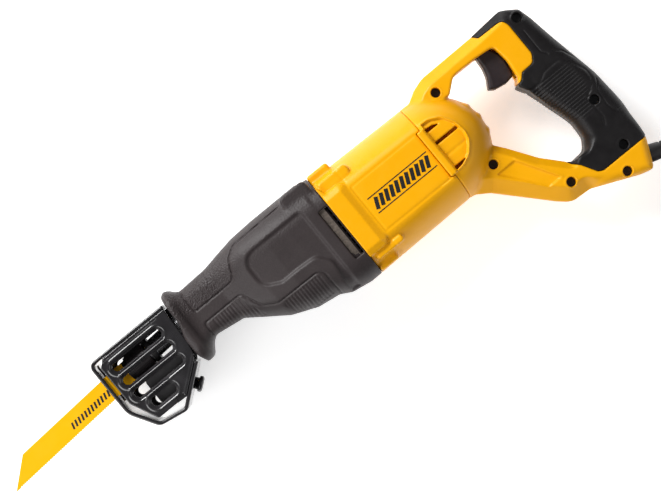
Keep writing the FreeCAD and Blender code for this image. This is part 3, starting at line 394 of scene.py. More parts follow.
def flat_distance(line, x, y, closed):
    best = np.full(np.broadcast(x, y).shape, 1e9)
    inside = np.zeros(best.shape, bool)
    ends = np.roll(line, -1, axis=0) if closed else line[1:]
    for (ax, ay), (bx, by) in zip(line, ends):
        dx, dy = bx - ax, by - ay
        t = np.clip(((x - ax) * dx + (y - ay) * dy) / max(dx * dx + dy * dy, 1e-9), 0, 1)
        best = np.minimum(best, (x - ax - t * dx) ** 2 + (y - ay - t * dy) ** 2)
        if closed and ay != by:
            inside ^= ((ay > y) != (by > y)) & (x < ax + (y - ay) * dx / dy)
    best = np.sqrt(best)
    return np.where(inside, -best, best)


CELL = 0.5
MARGIN = 10.0


def drawn(points, closed=True, shift=(0.0, 0.0)):
    """A drawn outline or line as a look-up: distance at x, y, less than nothing inside an outline."""
    line = rounded(points, closed) + np.array(shift)
    low = line.min(axis=0) - MARGIN
    counts = np.ceil((line.max(axis=0) + MARGIN - low) / CELL).astype(int) + 1
    xs, ys = (low[k] + CELL * np.arange(counts[k]) for k in (0, 1))
    table = flat_distance(line, xs[:, None], ys[None, :], closed)

    def distance(x, y):
        u = np.clip((x - low[0]) / CELL, 0, counts[0] - 1.001)
        v = np.clip((y - low[1]) / CELL, 0, counts[1] - 1.001)
        i, j = u.astype(int), v.astype(int)
        u, v = u - i, v - j
        return (table[i, j] * (1 - u) * (1 - v) + table[i + 1, j] * u * (1 - v)
                + table[i, j + 1] * (1 - u) * v + table[i + 1, j + 1] * u * v)

    return distance


def thick(flat, z, half, edge=0.8):
    """A drawn outline given thickness, its edges rounded."""
    out, up = flat + edge, np.abs(z) - half + edge
    return length(np.maximum(out, 0), np.maximum(up, 0)) + np.minimum(np.maximum(out, up), 0) - edge


def bevelled(flat, z, half, cut):
    """A drawn outline given thickness, its edges cut at a slant."""
    up = np.abs(z) - half
    return both(both(flat, up, 0.5), (flat + up + cut) * 0.7071, 0.4)


def brick(x, y, z, low, high, edge=0.8):
    """A block between two corners, its edges rounded."""
    parts = [np.abs(v - (a + b) / 2) - (b - a) / 2 + edge for v, a, b in zip((x, y, z), low, high)]
    outside = length(*[np.maximum(p, 0) for p in parts])
    return outside + np.minimum(np.maximum(np.maximum(parts[0], parts[1]), parts[2]), 0) - edge


def groove(distance, width=0.7, depth=0.7):
    return depth * np.exp(-((distance / width) ** 2))


def surface(field, low, high, step):
    """The surface where a field is nought, as points and four-sided faces that point outwards."""
    axes = [np.arange(a - step, b + 2 * step, step) for a, b in zip(low, high)]
    shape = [len(a) for a in axes]
    grid = [axes[0][:, None, None], axes[1][None, :, None], axes[2][None, None, :]]
    f = np.broadcast_to(field(*grid), shape).astype(np.float32)
    cells = tuple(n - 1 for n in shape)
    total, count = np.zeros((*cells, 3), np.float32), np.zeros(cells, np.uint8)
    crossings = []
    for axis in range(3):
        u, v = (axis + 1) % 3, (axis + 2) % 3
        near, far = [slice(None)] * 3, [slice(None)] * 3
        near[axis], far[axis] = slice(0, -1), slice(1, None)
        a, b = f[tuple(near)], f[tuple(far)]
        cross = (a < 0) != (b < 0)
        t = np.where(cross, a / np.where(cross, a - b, 1), 0)
        crossings.append((cross, a < 0))
        for du in (0, 1):
            for dv in (0, 1):
                part = [slice(None)] * 3
                part[u] = slice(du, shape[u] - 1 + du)
                part[v] = slice(dv, shape[v] - 1 + dv)
                met = cross[tuple(part)]
                count += met
                total[..., axis] += t[tuple(part)]
                total[..., u] += met * du
                total[..., v] += met * dv
    used = count > 0
    ids = np.full(cells, -1, np.int64)
    ids[used] = np.arange(used.sum())
    origin = np.array([a[0] for a in axes])
    points = (np.argwhere(used) + total[used] / count[used][:, None]) * step + origin
    faces = []
    for axis, (cross, solid) in enumerate(crossings):
        u, v = (axis + 1) % 3, (axis + 2) % 3
        part = [slice(None)] * 3
        part[u], part[v] = slice(1, -1), slice(1, -1)
        where = np.argwhere(cross[tuple(part)])
        outward = solid[tuple(part)][tuple(where.T)]
        where[:, u] += 1
        where[:, v] += 1
        quad = []
        for du, dv in ((-1, -1), (0, -1), (0, 0), (-1, 0)):
            cell = where.copy()
            cell[:, u] += du
            cell[:, v] += dv
            quad.append(ids[tuple(cell.T)])
        quad = np.stack(quad, axis=1)
        quad[~outward] = quad[~outward][:, ::-1]
        faces.append(quad)
    nudge = 0.05
    for _ in range(2):
        x, y, z = points.T
        here = field(x, y, z)
        slope = np.stack([field(x + nudge, y, z) - here, field(x, y + nudge, z) - here,
                          field(x, y, z + nudge) - here], axis=1) / nudge
        move = slope * (here / np.maximum((slope**2).sum(axis=1), 0.05))[:, None]
        points = points - np.clip(move, -0.5 * step, 0.5 * step)
    return points, np.concatenate(faces)


def moulding(name, field, low, high, step, hollow=None):
    """A piece from a field. hollow is a coarser field, its box and step for a space inside the piece."""
    points, faces = surface(field, low, high, step)
    if hollow:
        inner, inner_faces = surface(*hollow)
        faces = np.concatenate([faces, inner_faces[:, ::-1] + len(points)])
        points = np.concatenate([points, inner])
    return mesh_object(name, placed(points), faces)


# ---- boot ----------------------------------------------------------------------------------------------------
# place along the tool, then the boot's top, bottom, half width and corner there
BOOT_RUN = np.array((
    (-150, 43.5, -13, 24.5, 14), (-147, 45.5, -14, 26, 15), (-144, 48.5, -14, 26.5, 16.5), (-141, 50, -12.8, 25.5, 16),
    (-138.5, 48.5, -9, 22.6, 13), (-136, 45.5, -5.5, 21.4, 11.5), (-132, 42.5, -2.5, 21, 10.5),
    (-129, 42.3, -2, 21.2, 10.5), (-105, 43.2, -5.5, 23.2, 12), (-89.6, 46, -16.6, 28.4, 17),
    (-75, 48.4, -27, 33.4, 21.5), (-55, 49.3, -35.4, 37, 25), (-36, 49.3, -38.2, 38.6, 26),
    (-27, 49.3, -43.2, 38.6, 26), (-10, 49.3, -46, 38.6, 26), (-8, 47.4, -45.9, 38.4, 26),
    (1, 47.2, -45.8, 38.4, 26),
), float)
BOOT_SKIN = 3.0


def smooth_run():
    """The boot's run of sections at every half millimetre, with the corners between stations eased."""
    at = np.arange(-160, 10, 0.5)
    columns = []
    for column in BOOT_RUN.T[1:]:
        straight = np.interp(at, BOOT_RUN[:, 0], column)
        eased = np.convolve(np.pad(straight, 4, mode="edge"), np.hanning(9) / np.hanning(9).sum(), mode="valid")
        columns.append(eased)
    return at, columns


RUN_AT, RUN_COLUMNS = smooth_run()


def tube_of_boot(x, y, z, inset=0.0):
    top, bottom, half, corner = (np.interp(x, RUN_AT, column) for column in RUN_COLUMNS)
    corner = corner - inset
    up = np.abs(y - (top + bottom) / 2) - (top - bottom) / 2 + inset + corner
    out = np.abs(z) - half + inset + corner
    return length(np.maximum(up, 0), np.maximum(out, 0)) + np.minimum(np.maximum(up, out), 0) - corner


def make_boot():
    tunnel_y = DRIVE_Y - 90 * math.tan(LINE_DIP)
    upper = drawn(((-131, 42), (-130.5, 22, 2), (-92, 22, 8), (-85, 37, 8), (-76, 43, 6), (-31, 43.7)), closed=False)
    lower = drawn(((-131, -2), (-130.5, 10.5, 2), (-95, 10.5, 4), (-87, -7, 8), (-76, -13.2, 6), (-39, -13.8, 3),
                   (-34.5, -18, 3), (-34, -38)), closed=False)
    panel = drawn(((-78, 31, 13), (-19, 31, 5), (-19, -42), (-27, -42), (-24, -14, 8), (-32, -4, 7), (-48, -3),
                   (-64, -3, 6), (-78, 4, 12)))
    boss = drawn(((-27.5, 32, 5), (-2.5, 32, 5), (-2.5, 48, 5), (-27.5, 48, 5)))
    pad = drawn(((-125, 9, 1), (-97, 9, 3), (-89, -14), (-125, -6)))
    low_ribs = drawn(((-74, -15.5, 3), (-41, -15.5, 3), (-37, -19, 3), (-37, -34), (-60, -34), (-70, -27)))

    def field(x, y, z):
        side = fade(8, 15, np.abs(z))
        f = tube_of_boot(x, y, z)
        f = f + side * (groove(upper(x, y), 0.6, 1.2) + groove(lower(x, y), 0.6, 1.2))
        f = f + side * 2.0 * fade(1.4, -2.2, panel(x, y))
        wave = 0.5 + 0.5 * np.cos(2 * math.pi * x / 2.8)
        f = f + side * wave * 0.6 * np.maximum(fade(0.6, -0.6, pad(x, y)), fade(0.6, -0.6, low_ribs(x, y)))
        f = f + groove(y - 18 + 0 * x, 0.6, 0.5) * fade(24, 27, np.abs(z)) * fade(-141, -144, x)
        f = join(f, thick(boss(x, y), z, 34.5, 2.0), 2.0)
        f = carve(f, brick(x, y, np.abs(z), (-9.5, -24.5, 21), (-1, 21, 60), 1.0), 0.8)
        front = -150 + 4.5 * fade(8, 26, y) + 2.5 * fade(-4, -14, y)
        f = both(f, front - x, 1.6)
        f = carve(f, both(tube_of_boot(-128 + 0 * x, y, z, BOOT_SKIN), x + 142.5), 1.5)
        f = carve(f, both(length(y - tunnel_y, z) - 11.0, x + 136))
        return both(f, x + 0.15, 0.6)

    def inside(x, y, z):
        return both(both(tube_of_boot(x, y, z, BOOT_SKIN), -139.5 - x), x + 2.5)

    piece = moulding("boot_skin", field, (-152, -48, -40), (1, 52, 40), 0.84,
                     (inside, (-141, -44, -37), (-1, 48, 37), 2.5))
    finish_piece(piece, "boot_rubber", stands_for=("boot",))


# ---- motor shell ---------------------------------------------------------------------------------------------
HOUSING_LENGTH = 90.0
FLAT_REACH = 37.0


def barrel(x, y, z, inset=0.0):
    reach = 45.0 - 1.5 * np.clip(x / HOUSING_LENGTH, 0, 1) - inset
    return both(length(y - AXIS_Y, z) - reach, np.abs(z) - FLAT_REACH + inset, 3.0)


def make_motor_shell():
    label = drawn(((22, -23, 1.5), (86 - 0.5, -23, 1.5), (86 - 0.5, 20.3, 1.5), (22, 20.3, 1.5)))
    block = drawn(((-8, -26), (15, -26, 1), (15, 24, 1), (-8, 24)))
    upper_pill = drawn(((2, 29, 4.4), (30, 29, 4.4), (30, 38, 4.4), (2, 38, 4.4)))
    lower_pill = drawn(((4, -36.5, 2.6), (29, -36.5, 2.6), (29, -31, 2.6), (4, -31, 2.6)))
    tab = drawn(((86, -22.8, 1), (100, -22.8), (100, 20.3), (86, 20.3, 1)))
    web = drawn(((0, 40), (5, 25), (-8, 25), (-8, 40)))

    def field(x, y, z):
        out = np.abs(z)
        f = barrel(x, y, z)
        f = join(f, both(both(block(x, y) - 4.5 * fade(39.9, 36.5, out), out - 39.8, 1.5), -(out - 20)), 1.2)
        f = join(f, thick(upper_pill(x, y), z, 34.0, 1.6), 2.0)
        f = join(f, thick(lower_pill(x, y), z, 34.5, 1.4), 1.5)
        f = join(f, brick(x, y, z, (0.2, 30, -16), (20, 48, 16), 2.5), 2.0)
        f = join(f, brick(x, y, z, (0.2, -44.8, -24), (18, -30, 24), 2.5), 1.5)
        f = join(f, thick(web(x, y), z, 37.6, 0.8), 1.5)
        side = fade(25, 33, out)
        f = f + side * (groove(label(x, y), 0.6, 0.55) + 0.25 * fade(0.4, -0.4, label(x, y)))
        f = f + groove(x - 21 + 0 * y, 0.7, 0.3) * fade(36.5, 34.5, out)
        f = carve(f, both(tab(x, y), 30 - out))
        f = carve(f, both(length(y - AXIS_Y, z) - 34, x - 3))
        return both(both(f, 0.15 - x, 0.8), x - HOUSING_LENGTH + 0.2, 0.8)

    def inside(x, y, z):
        return both(both(barrel(x, y, z, 3.0), 2.2 - x), x - HOUSING_LENGTH + 3)

    piece = moulding("motor_shell", field, (-1, -47, -41), (91, 50, 41), 0.95,
                     (inside, (1, -45, -35), (88, 43, 35), 2.5))
    finish_piece(piece, "yellow_plastic", stands_for=("motor_housing",))


# ---- handle --------------------------------------------------------------------------------------------------
HANDLE_X = 90.0
HANDLE_EDGE = [
    (-6, 41), (8, 41.5), (18, 47.5, 8), (28, 50.8, 20), (79, 51.5), (108, 53.5, 9), (121, 45, 6), (124, 34, 12),
    (128, 10, 40), (136, -30, 60), (138, -60, 60), (135, -93, 20), (124, -117, 5), (113, -114, 20), (76, -98, 10),
    (59, -97, 12), (50, -89), (15, -52), (3, -44), (-6, -42),
]
FINGER_EDGE = [
    (30, 27), (37, 27.5), (48, 36.8, 10), (70, 36.5), (86, 35, 4), (88, 20, 30), (86, 4, 2), (82, -1, 2),
    (87, -10, 20), (92, -30, 40), (98, -50, 30), (97, -64, 8), (91, -72.5, 6), (78, -73.5, 8), (60, -54),
    (45, -32, 10), (38, -23, 6), (30, -23),
]
COVER_EDGE = [
    (78, 70), (78, 52), (82, 47), (104, 46.5, 6), (106, 40), (106, 12, 5), (102, 6, 4), (91, 5.5, 2), (87, 1.2, 2),
    (80, -1), (72, -5), (70, -60), (76, -73.5), (81, -79), (88, -91, 4), (92, -93), (160, -93), (160, 70),
]
SCREW_PLACES = ((29.5, 35.5), (29, -35.5), (67, -84), (106, -105), (114.5, 40.5), (116.5, -87), (121, -46))
BAR_REACH = 17.0
SCREW_SEAT = 9.0
COVER_SKIN = 2.5


def make_handle():
    back = (HANDLE_X, 0.0)
    edge, finger, cover = (drawn(points, shift=back) for points in (HANDLE_EDGE, FINGER_EDGE, COVER_EDGE))
    vent = drawn(((92.4, 24, 1), (100, 23.5, 8), (109, 19, 8), (115, 9, 9), (116.8, -1, 9), (115, -9, 9),
                  (108, -17, 8), (100, -20.8, 8), (92.4, -21.8, 1)))
    openings = [drawn(points) for points in (
        ((93, 15.2), (105.5, 15.2, 0.4), (100, 17.8, 2), (93, 18.6)),
        ((93, 3.4), (114, 3.4), (114, 6), (93, 6)),
        ((93, -17.6), (105.5, -17.6, 0.4), (99, -20.0, 2), (93, -20.8)))]
    tray = drawn(((116, -43.5, 1), (133, -43.5, 2), (153, -76, 1), (142, -76, 2)))
    tray_line = drawn(((134.5, -42.5, 1), (154.5, -76.5)), closed=False)
    swell_line = drawn(((176, -9.5), (186, -9.5, 3), (194, -5, 3), (206, -4.5, 4), (212, -6, 6), (221, -24, 10),
                        (220, -33, 4), (207, -42, 3), (208, -60, 4), (205, -66)), closed=False)
    back_lines = [drawn(points, closed=False) for points in (
        ((202, 30, 2), (202, 9, 3), (205.5, 4)), ((210, 3.5), (216, -1, 3), (221, -12, 6), (225, -26)),
        ((223, -34.5), (217, -43, 4), (216, -55, 8), (218, -64, 3), (227, -65)))]
    trigger_room = drawn(((160, 30), (160, 47.5, 2), (179, 47.5, 2), (184.2, 36, 4), (184.2, 5.2, 2), (160, 5.2)))

    def bars(x, y, z):
        grip = fade(172, 190, x) * fade(-86, -70, y) * fade(52, 40, y)
        outer = 8.0 + 4.5 * grip
        lower = fade(30, 10, y) * fade(175, 165, x)
        inner = 2.2 + 9.5 * fade(174, 184, x) * fade(8, -2, y) * fade(-80, -68, y) + 3.8 * lower
        slant = np.maximum(fade(186, 168, x), fade(38, 44, y) * fade(204, 194, x)) * fade(-104, -96, y)
        around, inward = edge(x, y), -finger(x, y)
        f = thick(around, z, BAR_REACH, outer) * (1 - slant)
        f = f + bevelled(around, z, BAR_REACH, 8.5 + 3.0 * lower) * slant
        within = thick(inward, z, BAR_REACH + 0.2, inner) * (1 - lower) + bevelled(inward, z, BAR_REACH, inner) * lower
        return both(f, within, 1.0)

    def dome(x, y, z):
        p = length((x - HANDLE_X) / 46, (y - AXIS_Y) / 43.5, z / 43.5)
        slope = length((x - HANDLE_X) / 46**2, (y - AXIS_Y) / 43.5**2, z / 43.5**2)
        f = p * (p - 1) / np.maximum(slope, 1e-4)
        for height in (13, 1, -12):
            bump = np.exp(-(((y - height) / 3.0) ** 2)) * fade(126, 131, x) * fade(16, 12, np.abs(z))
            f = f - 1.2 * bump
        return both(f, np.abs(z) - FLAT_REACH, 3.5)

    def whole(x, y, z):
        out = np.abs(z)
        egg = dome(x, y, z)
        side = fade(26, 33, out)
        rim = vent(x, y)
        egg = egg + side * (1.5 * fade(0.4, -0.4, rim + 1.2) - groove(rim + 0.2, 0.8, 1.3))
        egg = egg + side * groove(y + 7.5 + 0 * x, 1.2, 0.5) * fade(0, -2, rim)
        f = join(egg, bars(x, y, z), 2.5)
        tab = brick(x, y, out, (86.4, -22.4, 20), (92.2, 19.9, 39.7), 1.2)
        f = both(f, HANDLE_X - x, 0.8)
        f = join(f, tab, 0.4)
        for opening in openings:
            f = carve(f, both(opening(x, y), 24 - out), 0.5)
        f = f + fade(12, 16, out) * (1.5 * fade(0.7, -0.7, tray(x, y)) - groove(tray_line(x, y), 0.9, 0.5))
        f = carve(f, both(trigger_room(x, y), out - 8.6), 0.6)
        f = carve(f, brick(x, y, z, (182, 15, -9), (189, 25, 9), 0.5))
        return f

    def wells(x, y, z):
        f = 1e3 + 0 * (x + y + z)
        for a, b in SCREW_PLACES:
            hole = length(x - HANDLE_X - a, y - b) - 4.0
            f = np.minimum(f, both(hole, SCREW_SEAT - z))
        return f

    def detailed(x, y, z):
        out = np.abs(z)
        f = whole(x, y, z)
        face = fade(8, 13, out)
        ribs = 0.45 * (0.5 + 0.5 * np.cos(2 * math.pi * y / 2.6))
        ribs = ribs * fade(-8, -11, y) * fade(-54, -50, y) * fade(177, 180, x) * fade(217, 211, x - 0.08 * (y + 30))
        f = f + ribs * fade(4, 7, out)
        f = f + face * groove(swell_line(x, y), 1.0, 0.45)
        for line in back_lines:
            f = f + face * groove(line(x, y), 0.6, 0.7)
        for a, b in SCREW_PLACES[4:]:
            f = f - groove(length(x - HANDLE_X - a, y - b) - 4.7, 0.6, 0.35) * fade(8, 12, z)
        return carve(f, wells(x, y, z), 0.5)

    def guard_room(x, y, z):
        turn = math.radians(-20)
        dx, dy = x - 214, y + 104
        along, across = dx * math.cos(turn) + dy * math.sin(turn), dy * math.cos(turn) - dx * math.sin(turn)
        return both(length(across, z) - 8.6, -along - 2)

    for side, sign in (("left", 1), ("right", -1)):
        def shell(x, y, z, sign=sign):
            f = whole(x, y, z)
            f = np.minimum(both(f, -cover(x, y)), f + COVER_SKIN)
            f = carve(f, wells(x, y, z) - 1.5 * fade(0.5, -0.5, cover(x, y)), 0.4)
            for a, b in SCREW_PLACES[:4]:
                f = f - groove(length(x - HANDLE_X - a, y - b) - 4.6, 0.6, 0.3) * fade(8, 12, z)
            f = carve(f, guard_room(x, y, z))
            return both(f, 0.1 - sign * z, 0.5)

        def soft(x, y, z, sign=sign):
            f = detailed(x, y, z)
            skin = both(both(f - 0.25, cover(x, y) + 0.25, 0.9), -(whole(x, y, z) + COVER_SKIN - 0.3))
            for a, b in SCREW_PLACES[4:] if sign > 0 else ():
                hole = length(x - HANDLE_X - a, y - b)
                skin = np.minimum(skin, both(np.abs(hole - 4.7) - 0.7, np.abs(z - 12.5) - 4.0))
            return both(carve(skin, guard_room(x, y, z)), 0.1 - sign * z, 0.5)

        low_z, high_z = sorted((0.0, sign * 41.0))
        piece = moulding(f"handle_shell_{side}", shell, (85, -119, low_z), (230, 55, high_z), 0.85)
        finish_piece(piece, "yellow_plastic", stands_for=(f"handle_{side}",))
        low_z, high_z = sorted((0.0, sign * 18.5))
        piece = moulding(f"grip_skin_{side}", soft, (166, -95, low_z), (230, 56, high_z), 0.8)
        finish_piece(piece, "grip_rubber", stands_for=(f"grip_cover_{side}",))


# ---- trigger -------------------------------------------------------------------------------------------------
def make_trigger():
    shape = drawn(((163, 43, 3), (172.5, 43, 4), (174.5, 34, 3), (177.3, 29, 5), (177.8, 20, 20), (176, 8, 3),
                   (168, 6.6, 3), (158, 8.4, 3), (153.6, 11.6, 1.2), (158.6, 20, 12), (160.8, 28, 10), (161.2, 35)))
    ridge = drawn(((158, 11), (161, 17, 8), (163.4, 26, 12), (163.8, 35)), closed=False)

    def field(x, y, z):
        f = thick(shape(x, y), z, 7.9, 2.2)
        f = f - fade(4, 6, np.abs(z)) * groove(ridge(x, y), 0.9, 0.35)
        f = f + groove(np.abs(z) - 3.0 + 0 * x, 0.9, 0.3) * fade(166, 160, x)
        return carve(f, length(x - 168, y - 40) - 1.55)

    piece = moulding("trigger_lever", field, (152, 4, -9), (180, 45, 9), 0.6)
    finish_piece(piece, "dark_plastic", "trigger", ("trigger",))


# ---- shoe ----------------------------------------------------------------------------------------------------
PIVOT = (-163.0, 3.0)
SHOE_HALF = 20.0
SHOE_SHEET = 2.0
HOOP_EDGE = [
    (15.2, 39.5), (-58, 39.5, 7), (-58, -9, 14), (-44, -32, 8), (-20, -36, 6), (10, -12), (8.2, -9.6),
    (-21, -32.8, 4), (-42.4, -29.2, 6), (-55, -8, 12), (-55, 36.5, 4), (15.2, 36.5),
]
PLATE_EDGE = [
    (14.6, 36.3), (-46, 36.3), (-51.5, 31, 2), (-51.5, -4, 3), (-41, -26.5, 3), (-21, -26.5), (-21, -23.5),
    (-14.5, -23.5), (-14.5, -27.4), (8.0, -9.4), (11.5, -4), (13, 4),
]
SHOE_SLOTS = ((24.5, -41, -1.5, 3.5), (11.25, -41, -1.5, 3.75), (-1.5, -41, -1.5, 3.5), (-15, -34, -19.5, 4.0))


def make_shoe():
    hoop, plate = drawn(HOOP_EDGE, shift=PIVOT), drawn(PLATE_EDGE, shift=PIVOT)
    fold = drawn(((-213, 37.4), (-158, 37.4)), closed=False)
    slope_line = drawn(((-177, -22), (-152.5, -2.5)), closed=False)

    def hoop_field(x, y, z):
        f = thick(hoop(x, y), z, SHOE_HALF, 1.2)
        gap = brick(x, y, z, (PIVOT[0] - 62, PIVOT[1] + 0.5, -6), (PIVOT[0] - 52, PIVOT[1] + 35, 6), 1.5)
        f = carve(f, gap, 0.6)
        hole = length(*rivet_offset(x, y, z)[:2]) - 3.2
        return carve(f, both(hole, 2.0 - rivet_offset(x, y, z)[2]))

    def rivet_offset(x, y, z):
        dx, dy = x - PIVOT[0] + 5, y - PIVOT[1] + 22
        along = dx * 0.625 - dy * 0.78
        return dx * 0.78 + dy * 0.625, z, along

    piece = moulding("shoe_strap", hoop_field, (-222, -35, -21), (-146, 44, 21), 0.56)
    finish_piece(piece, "black_steel", "shoe", ("shoe_hoop",))
    slots = []
    for y, start, end, radius in SHOE_SLOTS:
        slots.append((PIVOT[0] + start, PIVOT[0] + end, PIVOT[1] + y, radius))

    for side, sign in (("left", 1), ("right", -1)):
        def plate_field(x, y, z, sign=sign):
            up = sign * z - (SHOE_HALF - SHOE_SHEET / 2)
            f = plate(x, y)
            lift = 0.0 * f
            for start, end, middle, radius in slots:
                d = length(x - np.clip(x, start, end), y - middle) - radius
                f = carve(f, d, 0.3)
                lift = lift + groove(d - 3.2, 0.9, 0.5) - 1.5 * fade(2.4, 0.2, d)
            lift = lift - groove(fold(x, y), 0.8, 0.35) + groove(slope_line(x, y), 1.2, 0.5)
            return thick(f, up - lift, SHOE_SHEET / 2 + 0.05, 0.7)

        low_z, high_z = sorted((sign * 15.5, sign * 23.5))
        piece = moulding(f"shoe_cheek_{side}", plate_field, (-216, -25, low_z), (-147, 41, high_z), 0.46)
        finish_piece(piece, "black_steel", "shoe", (f"shoe_plate_{side}",))


def turned(name, profile, start, heading, sides=48):
    """A piece turned on an axis: profile gives distance along the axis and radius, both in millimetres."""
    heading = Vector(heading).normalized()
    frame_of = heading.to_track_quat("Z", "Y").to_matrix()
    points, faces = [], []
    for along, radius in profile:
        for k in range(sides):
            a = 2 * math.pi * k / sides
            spot = frame_of @ Vector((radius * math.cos(a), radius * math.sin(a), along))
            points.append(Vector(start) + spot)
    for ring in range(len(profile) - 1):
        for k in range(sides):
            a, b = ring * sides + k, ring * sides + (k + 1) % sides
            faces.append((a, b, b + sides, a + sides))
    last = (len(profile) - 1) * sides
    faces += [tuple(range(sides))[::-1], tuple(range(last, last + sides))]
    return mesh_object(name, placed(points), faces)


# ---- what repeats --------------------------------------------------------------------------------------------
class Pattern:
    """A Geometry Nodes tree with named sizes, ending in realised pieces with one material."""

    def __init__(self, name, **kinds):
        self.tree = bpy.data.node_groups.new(name, "GeometryNodeTree")
        face = self.tree.interface
        face.new_socket("Geometry", in_out="INPUT", socket_type="NodeSocketGeometry")
        for size, kind in (*kinds.items(), ("Material", "Material")):
            face.new_socket(size, in_out="INPUT", socket_type="NodeSocket" + kind)
        face.new_socket("Geometry", in_out="OUTPUT", socket_type="NodeSocketGeometry")
        self.given = self.tree.nodes.new("NodeGroupInput")

    def size(self, name):
        return self.given.outputs[name]

    def node(self, kind, settings, *values, **named):
        """A node and its first output. A list of sockets is joined into one input."""
        node = self.tree.nodes.new(kind)
        for key, setting in settings.items():
            setattr(node, key, setting)
        for key, value in [*enumerate(values), *((key.replace("_", " "), value) for key, value in named.items())]:
            for source in value if isinstance(value, list) else [value]:
                if isinstance(source, bpy.types.NodeSocket):
                    self.tree.links.new(source, node.inputs[key])
                else:
                    node.inputs[key].default_value = source
        return node.outputs[0]

    def close(self, instances):
        plain = self.node("GeometryNodeRealizeInstances", {}, Geometry=instances)
        painted = self.node("GeometryNodeSetMaterial", {}, Geometry=plain, Material=self.size("Material"))
        self.tree.links.new(painted, self.tree.nodes.new("NodeGroupOutput").inputs[0])
        return self

    def grow(self, name, slot, body="housing", stands_for=(), points=(), paint=None, **sizes):
        """Runs the tree once and keeps the plain mesh."""
        start = mesh_object(name + "_start", points, [])
        modifier = start.modifiers.new(name, "NODES")
        modifier.node_group = self.tree
        sizes["Material"] = (paint or FINISH[slot]).material
        for item in self.tree.interface.items_tree:
            if item.in_out == "INPUT" and item.name in sizes:
                modifier[item.identifier] = sizes[item.name]
        return finish_piece(plain_piece(name, start), slot, body, stands_for, paint)


def row_pattern():
    row = Pattern("row_of_bars", Count="Int", Start="Vector", Step="Vector", Size="Vector", Lean="Vector")
    line = row.node("GeometryNodeMeshLine", {"mode": "OFFSET"}, Count=row.size("Count"),
                    Start_Location=row.size("Start"), Offset=row.size("Step"))
    bar = row.node("GeometryNodeMeshCube", {}, Size=row.size("Size"))
    copies = row.node("GeometryNodeInstanceOnPoints", {}, Points=line, Instance=bar, Rotation=row.size("Lean"))
    return row.close(copies)


def ring_pattern():
    """Bars round a circle: each is turned by its own share of the circle, then the ring is set on its axis."""
    ring = Pattern("ring_of_bars", Count="Int", Radius="Float", Size="Vector", Place="Vector", Axis="Vector")
    circle = ring.node("GeometryNodeMeshCircle", {}, Vertices=ring.size("Count"), Radius=ring.size("Radius"))
    bar = ring.node("GeometryNodeMeshCube", {}, Size=ring.size("Size"))
    index = ring.node("GeometryNodeInputIndex", {})
    share = ring.node("ShaderNodeMath", {"operation": "DIVIDE"}, index, ring.size("Count"))
    angle = ring.node("ShaderNodeMath", {"operation": "MULTIPLY"}, share, 2 * math.pi)
    turn = ring.node("ShaderNodeCombineXYZ", {}, Z=angle)
    copies = ring.node("GeometryNodeInstanceOnPoints", {}, Points=circle, Instance=bar, Rotation=turn)
    set_down = ring.node("GeometryNodeTransform", {}, Geometry=copies, Translation=ring.size("Place"),
                         Rotation=ring.size("Axis"))
    return ring.close(set_down)


def screw_pattern():
    """A domed head with a cross recess at every point of the start mesh."""
    screw = Pattern("cross_screws", Radius="Float", Height="Float")
    disc = screw.node("GeometryNodeMeshCylinder", {}, Vertices=32, Radius=screw.size("Radius"),
                      Depth=screw.size("Height"))
    blades = [screw.node("GeometryNodeMeshCube", {}, Size=size) for size in
              ((0.0042, 0.0009, 0.0024), (0.0009, 0.0042, 0.0024))]
    cross = screw.node("GeometryNodeJoinGeometry", {}, blades)
    raised = screw.node("GeometryNodeTransform", {}, Geometry=cross, Translation=(0, 0, 0.0016))
    head = screw.node("GeometryNodeMeshBoolean", {"operation": "DIFFERENCE"}, Mesh_1=disc, Mesh_2=raised)
    copies = screw.node("GeometryNodeInstanceOnPoints", {}, Points=screw.size("Geometry"), Instance=head)
    return screw.close(copies)


def on_line(ahead, up=0.0, z=0.0):
    """A point of the plunger's line, ahead of the drive ball."""
    return (DRIVE_X - ahead * math.cos(LINE_DIP) - up * math.sin(LINE_DIP),
            DRIVE_Y - ahead * math.sin(LINE_DIP) + up * math.cos(LINE_DIP), z)


